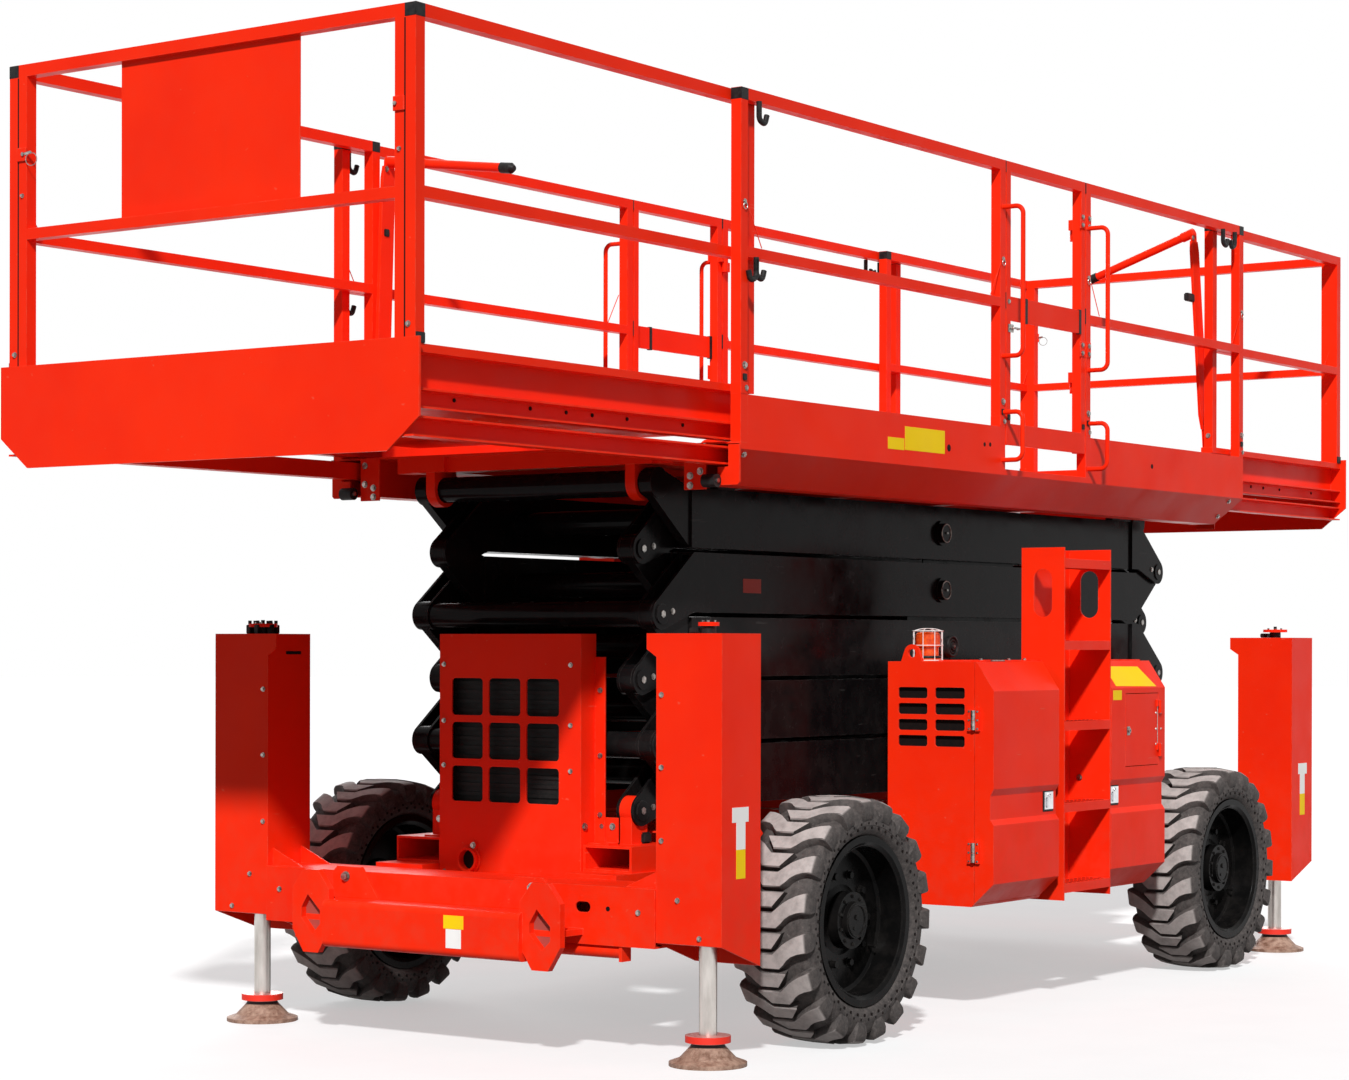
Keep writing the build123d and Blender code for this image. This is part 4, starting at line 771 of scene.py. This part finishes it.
def decks():
    # body, way out, toe plate's face, inner post, floor's inner edge
    table = (("deck_front", 1, 3.520, 1.795, 1.575), ("deck_rear", -1, 3.200, 1.805, 1.635))
    for body, out, face, inner, floor_in in table:
        steel, cap, red_trim, dark = fittings(body, "zinc", "cap", "red", "hole")
        corner = out * (face - 0.033)
        for side in BOTH:
            # caps over the top corners, black feet and bolts at the posts' feet
            if body == "deck_front":
                cap.slab(side, (corner - 0.0212, corner + 0.0212), (DECK_Y - 0.0412, DECK_Y + 0.0012),
                         (3.119, RAIL_TOP), 0.001)
            cap.slab(side, (corner - 0.020, corner + 0.020), (DECK_Y, DECK_Y + 0.0042), (2.191, 2.222),
                     0.0015)
            steel.bolt(at(out * (face - 0.013), side * 0.812, 2.245), (out, 0, 0), 0.0065)
            # joint line between the two tubes of the corner post
            x0, x1 = sorted((out * (face - 0.014), out * (face - 0.0124)))
            dark.slab(side, (x0, x1), (0.7955, 0.8005), (2.192, 3.116))
            steel.bolt(at(out * (face - 0.013), side * 0.778, 2.745), (out, 0, 0), 0.005)
            # inner post: foot bolt and top cap
            x = out * inner
            steel.bolt(at(x - out * 0.020, side * 0.818, 2.240), (-out, 0, 0), 0.008)
            cap.slab(side, (x - 0.021, x + 0.0205), (DECK_Y - 0.041, DECK_Y + 0.001), (3.121, RAIL_TOP),
                     0.001)
            # folded clip, lock pin and brace on the corner
            x0, x1 = sorted((out * (face - 0.012), out * (face - 0.006)))
            red_trim.slab(side, (x0, x1), (0.7575, 0.7985), (2.853, 2.895), 0.001)
            pin = at(out * (face - 0.008), side * 0.768, 2.874)
            steel.stud(pin, (out, 0, 0), 0.0075, 0.006)
            if side < 0:
                steel.rod(pin, (pin[0], pin[1] + 0.030, pin[2] + 0.004), 0.005, 12)
                steel.ring((pin[0], pin[1] + 0.034, pin[2] - 0.018), (1, 0.3, 0), 0.020, 0.0014, 24, 6)
            red_trim.rod(at(out * (face - 0.030), side * 0.796, 2.745),
                         at(out * (face - 0.100), side * 0.796, 2.640), 0.0018, 8)
            # bolt heads along the shaded band under the side's lip, in the near-black finish: painted shade
            for back in (0.243, 0.602, 0.780, 0.913, 1.096, 1.400):
                dark.stud(at(out * (face - back), side * 0.790, 2.0435), (0, side, 0), 0.003, 0.006, 12)
            # slide pads' screws
            for back in (0.300, 0.900, 1.500):
                steel.bolt(at(out * (face - back), side * 0.805, 1.985), UP, 0.006, 0.005)
        tread_pattern(red_trim, sorted((out * floor_in, out * (face - 0.012))), 0.750, 2.064)
    # black end and red sleeve of each push bar, and the fittings at its hinge
    for body, start, stop in (("deck_front", at(1.751, -0.784, 3.090), at(1.780, -0.200, 3.010)),
                              ("deck_rear", at(-1.716, 0.784, 3.110), at(-1.700, 0.300, 2.940))):
        start, stop = Vector(start), Vector(stop)
        way = (stop - start).normalized()
        on(body, "cap").rod(stop - way * 0.030, stop + way * 0.016, 0.0195, 24)
        on(body, "cap").rod(stop + way * 0.016, stop + way * 0.030, 0.0195, 24, 0.010)
        on(body, "red").rod(start + way * 0.004, start + way * 0.060, 0.021, 24)
    on("deck_front", "zinc").bolt(at(1.769, -0.772, 3.060), FORWARD, 0.009)
    on("deck_front", "cap").slab(1, (1.755, 1.782), (-0.790, -0.766), (2.815, 2.842), 0.003)
    on("deck_rear", "cap").slab(1, (-1.748, -1.655), (0.762, 0.784), (2.812, 2.846), 0.004)
    on("deck_rear", "zinc").bolt(at(-1.700, 0.784, 3.085), ACROSS, 0.008, 0.005)
    # wide blade of each push bar's lever: body, side, top (x, z), lean
    for body, side, x_top, z_top, lean in (("deck_rear", 1, -1.716, 3.110, 0.1306),
                                           ("deck_front", -1, 1.751, 3.090, -0.0404)):
        blade = [(x_top - (z_top - z) * lean, half, z) for z, half in BLADE]
        corners = [at(x + half, side * 0.7715, z) for x, half, z in blade]
        corners += [at(x - half, side * 0.7715, z) for x, half, z in reversed(blade)]
        on(body, "red").plate(corners, (0, side, 0), 0.013)
        on(body, "zinc").bolt(at(x_top - (z_top - 2.300) * lean, side * 0.7845, 2.300), (0, side, 0), 0.009,
                              0.006)


# ---------------------------------------------------------------- wheels
WHEELS = (("front_left", FRONT_AXLE_X, 1), ("front_right", FRONT_AXLE_X, -1),
          ("rear_left", REAR_AXLE_X, 1), ("rear_right", REAR_AXLE_X, -1))
WHEEL_Y = 0.995
LUGS = 19
# half of the tyre's section: (out from its middle, radius)
TYRE_HALF = ((0.118, 0.258), (0.118, 0.284), (0.126, 0.290), (0.134, 0.299), (0.1395, 0.306),
             (0.1405, 0.318), (0.1425, 0.320), (0.1425, 0.334), (0.1405, 0.337), (0.138, 0.352),
             (0.131, 0.370), (0.118, 0.379), (0.080, 0.383), (0.000, 0.385))
# stations of one lug from its tip to its foot on the side wall: lower edge (along, across), upper edge
# (along, across), radius of the top, radius of the root, how far the root is set in
LUG = ((0, -0.024, 0.0545, -0.062, 0.415, 0.374, -0.004),
       (0, 0.006, 0.0545, -0.014, 0.415, 0.374, 0),
       (0, 0.043, 0.055, 0.024, 0.4148, 0.374, 0),
       (0.014, 0.06, 0.074, 0.046, 0.4138, 0.374, 0),
       (0.03, 0.074, 0.09, 0.064, 0.4126, 0.373, 0),
       (0.043, 0.092, 0.103, 0.084, 0.4108, 0.372, 0),
       (0.052, 0.114, 0.116, 0.108, 0.408, 0.37, 0.002),
       (0.056, 0.136, 0.1255, 0.134, 0.404, 0.364, 0.008),
       (0.057, 0.145, 0.1265, 0.145, 0.396, 0.356, 0.016),
       (0.058, 0.1495, 0.1255, 0.1495, 0.378, 0.346, 0.02),
       (0.062, 0.1485, 0.1215, 0.1485, 0.356, 0.338, 0.018),
       (0.068, 0.1445, 0.1155, 0.1445, 0.34, 0.332, 0.01))


def about(x, y, radius, turn):
    """The place at a radius and an angle about a wheel's axis."""
    return at(x + radius * math.cos(turn), y, AXLE_Z + radius * math.sin(turn))


def turned_ring(piece, x, y, profile, steps=120):
    """A closed section turned round the wheel's axis."""
    rows = [[piece.mesh.verts.new(about(x, y + out, r, turn)) for out, r in profile] for turn in turns(steps)]
    piece.skin(rows, closed=True)


def lug(piece, x, y, half, turn):
    """One tread bar: level over the middle, bent up to the shoulder and carried down the side wall."""
    edge, draft = 0.004, 0.005
    rows = []
    for low, low_out, high, high_out, top, root, set_in in LUG:
        outline = ((low - draft, low_out - set_in, root), (low, low_out, top - edge),
                   (low + edge, low_out, top), (high - edge, high_out, top),
                   (high, high_out, top - edge), (high + draft, high_out - set_in, root))
        rows.append([piece.mesh.verts.new(about(x, y + half * out, r, turn + along / TREAD_R))
                     for along, out, r in outline])
    piece.skin(rows)


def wheels():
    section = list(TYRE_HALF) + [(-out, r) for out, r in reversed(TYRE_HALF[:-1])]
    for corner, x, side in WHEELS:
        body = f"wheel_{corner}"
        hub, hole = fittings(body, "hub", "hole")
        for turn in turns(10):
            hub.bolt(about(x, side * (WHEEL_Y + 0.032), 0.154, turn), (0, side, 0), 0.012, 0.016)
            hub.bolt(about(x, side * (WHEEL_Y + 0.080), 0.080, turn + 0.3), (0, side, 0), 0.005, 0.006)
        face = side * (WHEEL_Y + 0.095)
        hub.ring(at(x, face, AXLE_Z), ACROSS, 0.052, 0.003, 36, 8)
        hub.stud(at(x, face, AXLE_Z + 0.010), (0, side, 0), 0.005, 0.009, 6)
        hub.stud(at(x + 0.012, face, AXLE_Z - 0.026), (0, side, 0), 0.003, 0.006)
        hub.ring(at(x, side * (WHEEL_Y + 0.1195), AXLE_Z), ACROSS, 0.2545, 0.0045, 72, 8)
        # valve
        hub.rod(at(x - 0.172, side * (WHEEL_Y + 0.036), AXLE_Z - 0.100),
                at(x - 0.176, side * (WHEEL_Y + 0.062), AXLE_Z - 0.103), 0.005, 12)
        # small vent pits round the side wall, drawn as raised near-black studs: painted shade of the pits
        for radius, shift in ((0.327, 0.0), (0.3115, 0.5)):
            for turn in turns(44, shift):
                for way in BOTH:
                    pit = about(x, side * WHEEL_Y + way * 0.1400, radius, turn)
                    hole.stud(pit, (0, way, 0), 0.0030, 0.0050, 8)
        tyre = Piece(f"tread_{corner}", body, tyre_front if x > 0 else tyre_rear, "tyre")
        turned_ring(tyre, x, side * WHEEL_Y, section)
        for half, shift in ((1, 0.0), (-1, 0.5)):
            for turn in turns(LUGS, shift):
                lug(tyre, x, side * WHEEL_Y, half, turn)
        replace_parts(tyre.done(), f"tyre_{corner}")


outriggers()
front_frame()
cabinets()
lamp_and_horn()
ladders()
arms()
platform()
tread_pattern(on("platform", "red"), (-1.985, 1.918), 0.840, 2.000)
gates()
decks()
wheels()
for piece in gathered.values():
    piece.done()


# ---------------------------------------------------------------- studio
SUN_AZIMUTH = 32.0                  # from +X towards +Y
SUN_HEIGHT = 38.0
BACKGROUND = 1.0                    # level of the backdrop, where 1 is white
SKY_LEVEL = 0.24                    # light that the backdrop throws on the part
FLOOR_GLOW = 0.48                   # added to the floor where it is seen
FLOOR_HALF = 80
# fitted to the photograph: place, turns in degrees and lens
EYE = (9.740, 6.251, 1.333)
YAW, TILT, ROLL = 35.21, -0.152, 0.111
LENS_MM, SENSOR_MM, SHIFT_Y = 78.51, 36.0, 0.08366


def backdrop():
    world = bpy.data.worlds.new("studio")
    bpy.context.scene.world = world
    t = Tree(world, "OutputWorld")
    lit = t.node("Background", Color=(0.95, 0.97, 1.0), Strength=SKY_LEVEL)
    seen = t.node("Background", Color=(1.0, 1.0, 1.0), Strength=BACKGROUND)
    mix = t.node("MixShader", t.seen_rays(), lit.outputs["Background"], seen.outputs["Background"])
    t.feed(t.surface, mix.outputs["Shader"])


def pale_floor():
    """Grey for the light that it throws back, pale where it is seen; it keeps the object's shadow."""
    s = Shader("floor")
    grain = s.ramp(s.noise(3.0, 4.0), 0.3, 0.7)
    seen = s.node("BsdfDiffuse", Color=s.mix(grain, (0.50, 0.50, 0.50), (0.52, 0.52, 0.52)))
    glow = s.node("Emission", Color=(1.0, 1.0, 1.0), Strength=FLOOR_GLOW)
    both = s.node("AddShader", seen.outputs["BSDF"], glow.outputs["Emission"])
    dull = s.node("BsdfDiffuse", Color=(0.24, 0.235, 0.235))
    mix = s.node("MixShader", s.seen_rays(), dull.outputs["BSDF"], both.outputs["Shader"])
    s.feed(s.surface, mix.outputs["Shader"])
    mesh = bpy.data.meshes.new("floor")
    corners = [(x * FLOOR_HALF, y * FLOOR_HALF, 0) for x, y in ((-1, -1), (1, -1), (1, 1), (-1, 1))]
    mesh.from_pydata(corners, [], [(0, 1, 2, 3)])
    mesh.materials.append(s.material)
    floor = bpy.data.objects.new("floor", mesh)
    floor.location.z = -0.0005
    bpy.context.scene.collection.objects.link(floor)


def lamps():
    # name, azimuth, height in degrees, level on a face turned to it, softness in degrees
    table = (("key", SUN_AZIMUTH, SUN_HEIGHT, 1.20, 3.0), ("back", SUN_AZIMUTH + 187.0, 22.0, 0.50, 40.0))
    for name, azimuth, height, level, soft in table:
        light = bpy.data.lights.new(name, "SUN")
        light.energy = level * math.pi
        light.angle = math.radians(soft)
        turn, up = math.radians(azimuth), math.radians(height)
        way = Vector((math.cos(turn) * math.cos(up), math.sin(turn) * math.cos(up), math.sin(up)))
        lamp = bpy.data.objects.new(name, light)
        lamp.location = way * 12.0
        lamp.rotation_euler = way.to_track_quat("Z", "Y").to_euler()
        bpy.context.scene.collection.objects.link(lamp)


def camera():
    data = bpy.data.cameras.new("camera")
    data.sensor_width = SENSOR_MM
    data.sensor_fit = "HORIZONTAL"
    data.lens = LENS_MM
    data.shift_y = SHIFT_Y
    data.clip_end = 200.0
    eye = bpy.data.objects.new("camera", data)
    yaw, pitch, roll = (math.radians(angle) for angle in (YAW, TILT, ROLL))
    way = Vector((-math.cos(yaw) * math.cos(pitch), -math.sin(yaw) * math.cos(pitch), math.sin(pitch)))
    facing = way.to_track_quat("-Z", "Y").to_matrix().to_4x4()
    eye.matrix_world = Matrix.Translation(EYE) @ facing @ Matrix.Rotation(roll, 4, "Z")
    bpy.context.scene.collection.objects.link(eye)
    bpy.context.scene.camera = eye


backdrop()
pale_floor()
lamps()
camera()
bpy.context.scene.view_settings.view_transform = "Standard"
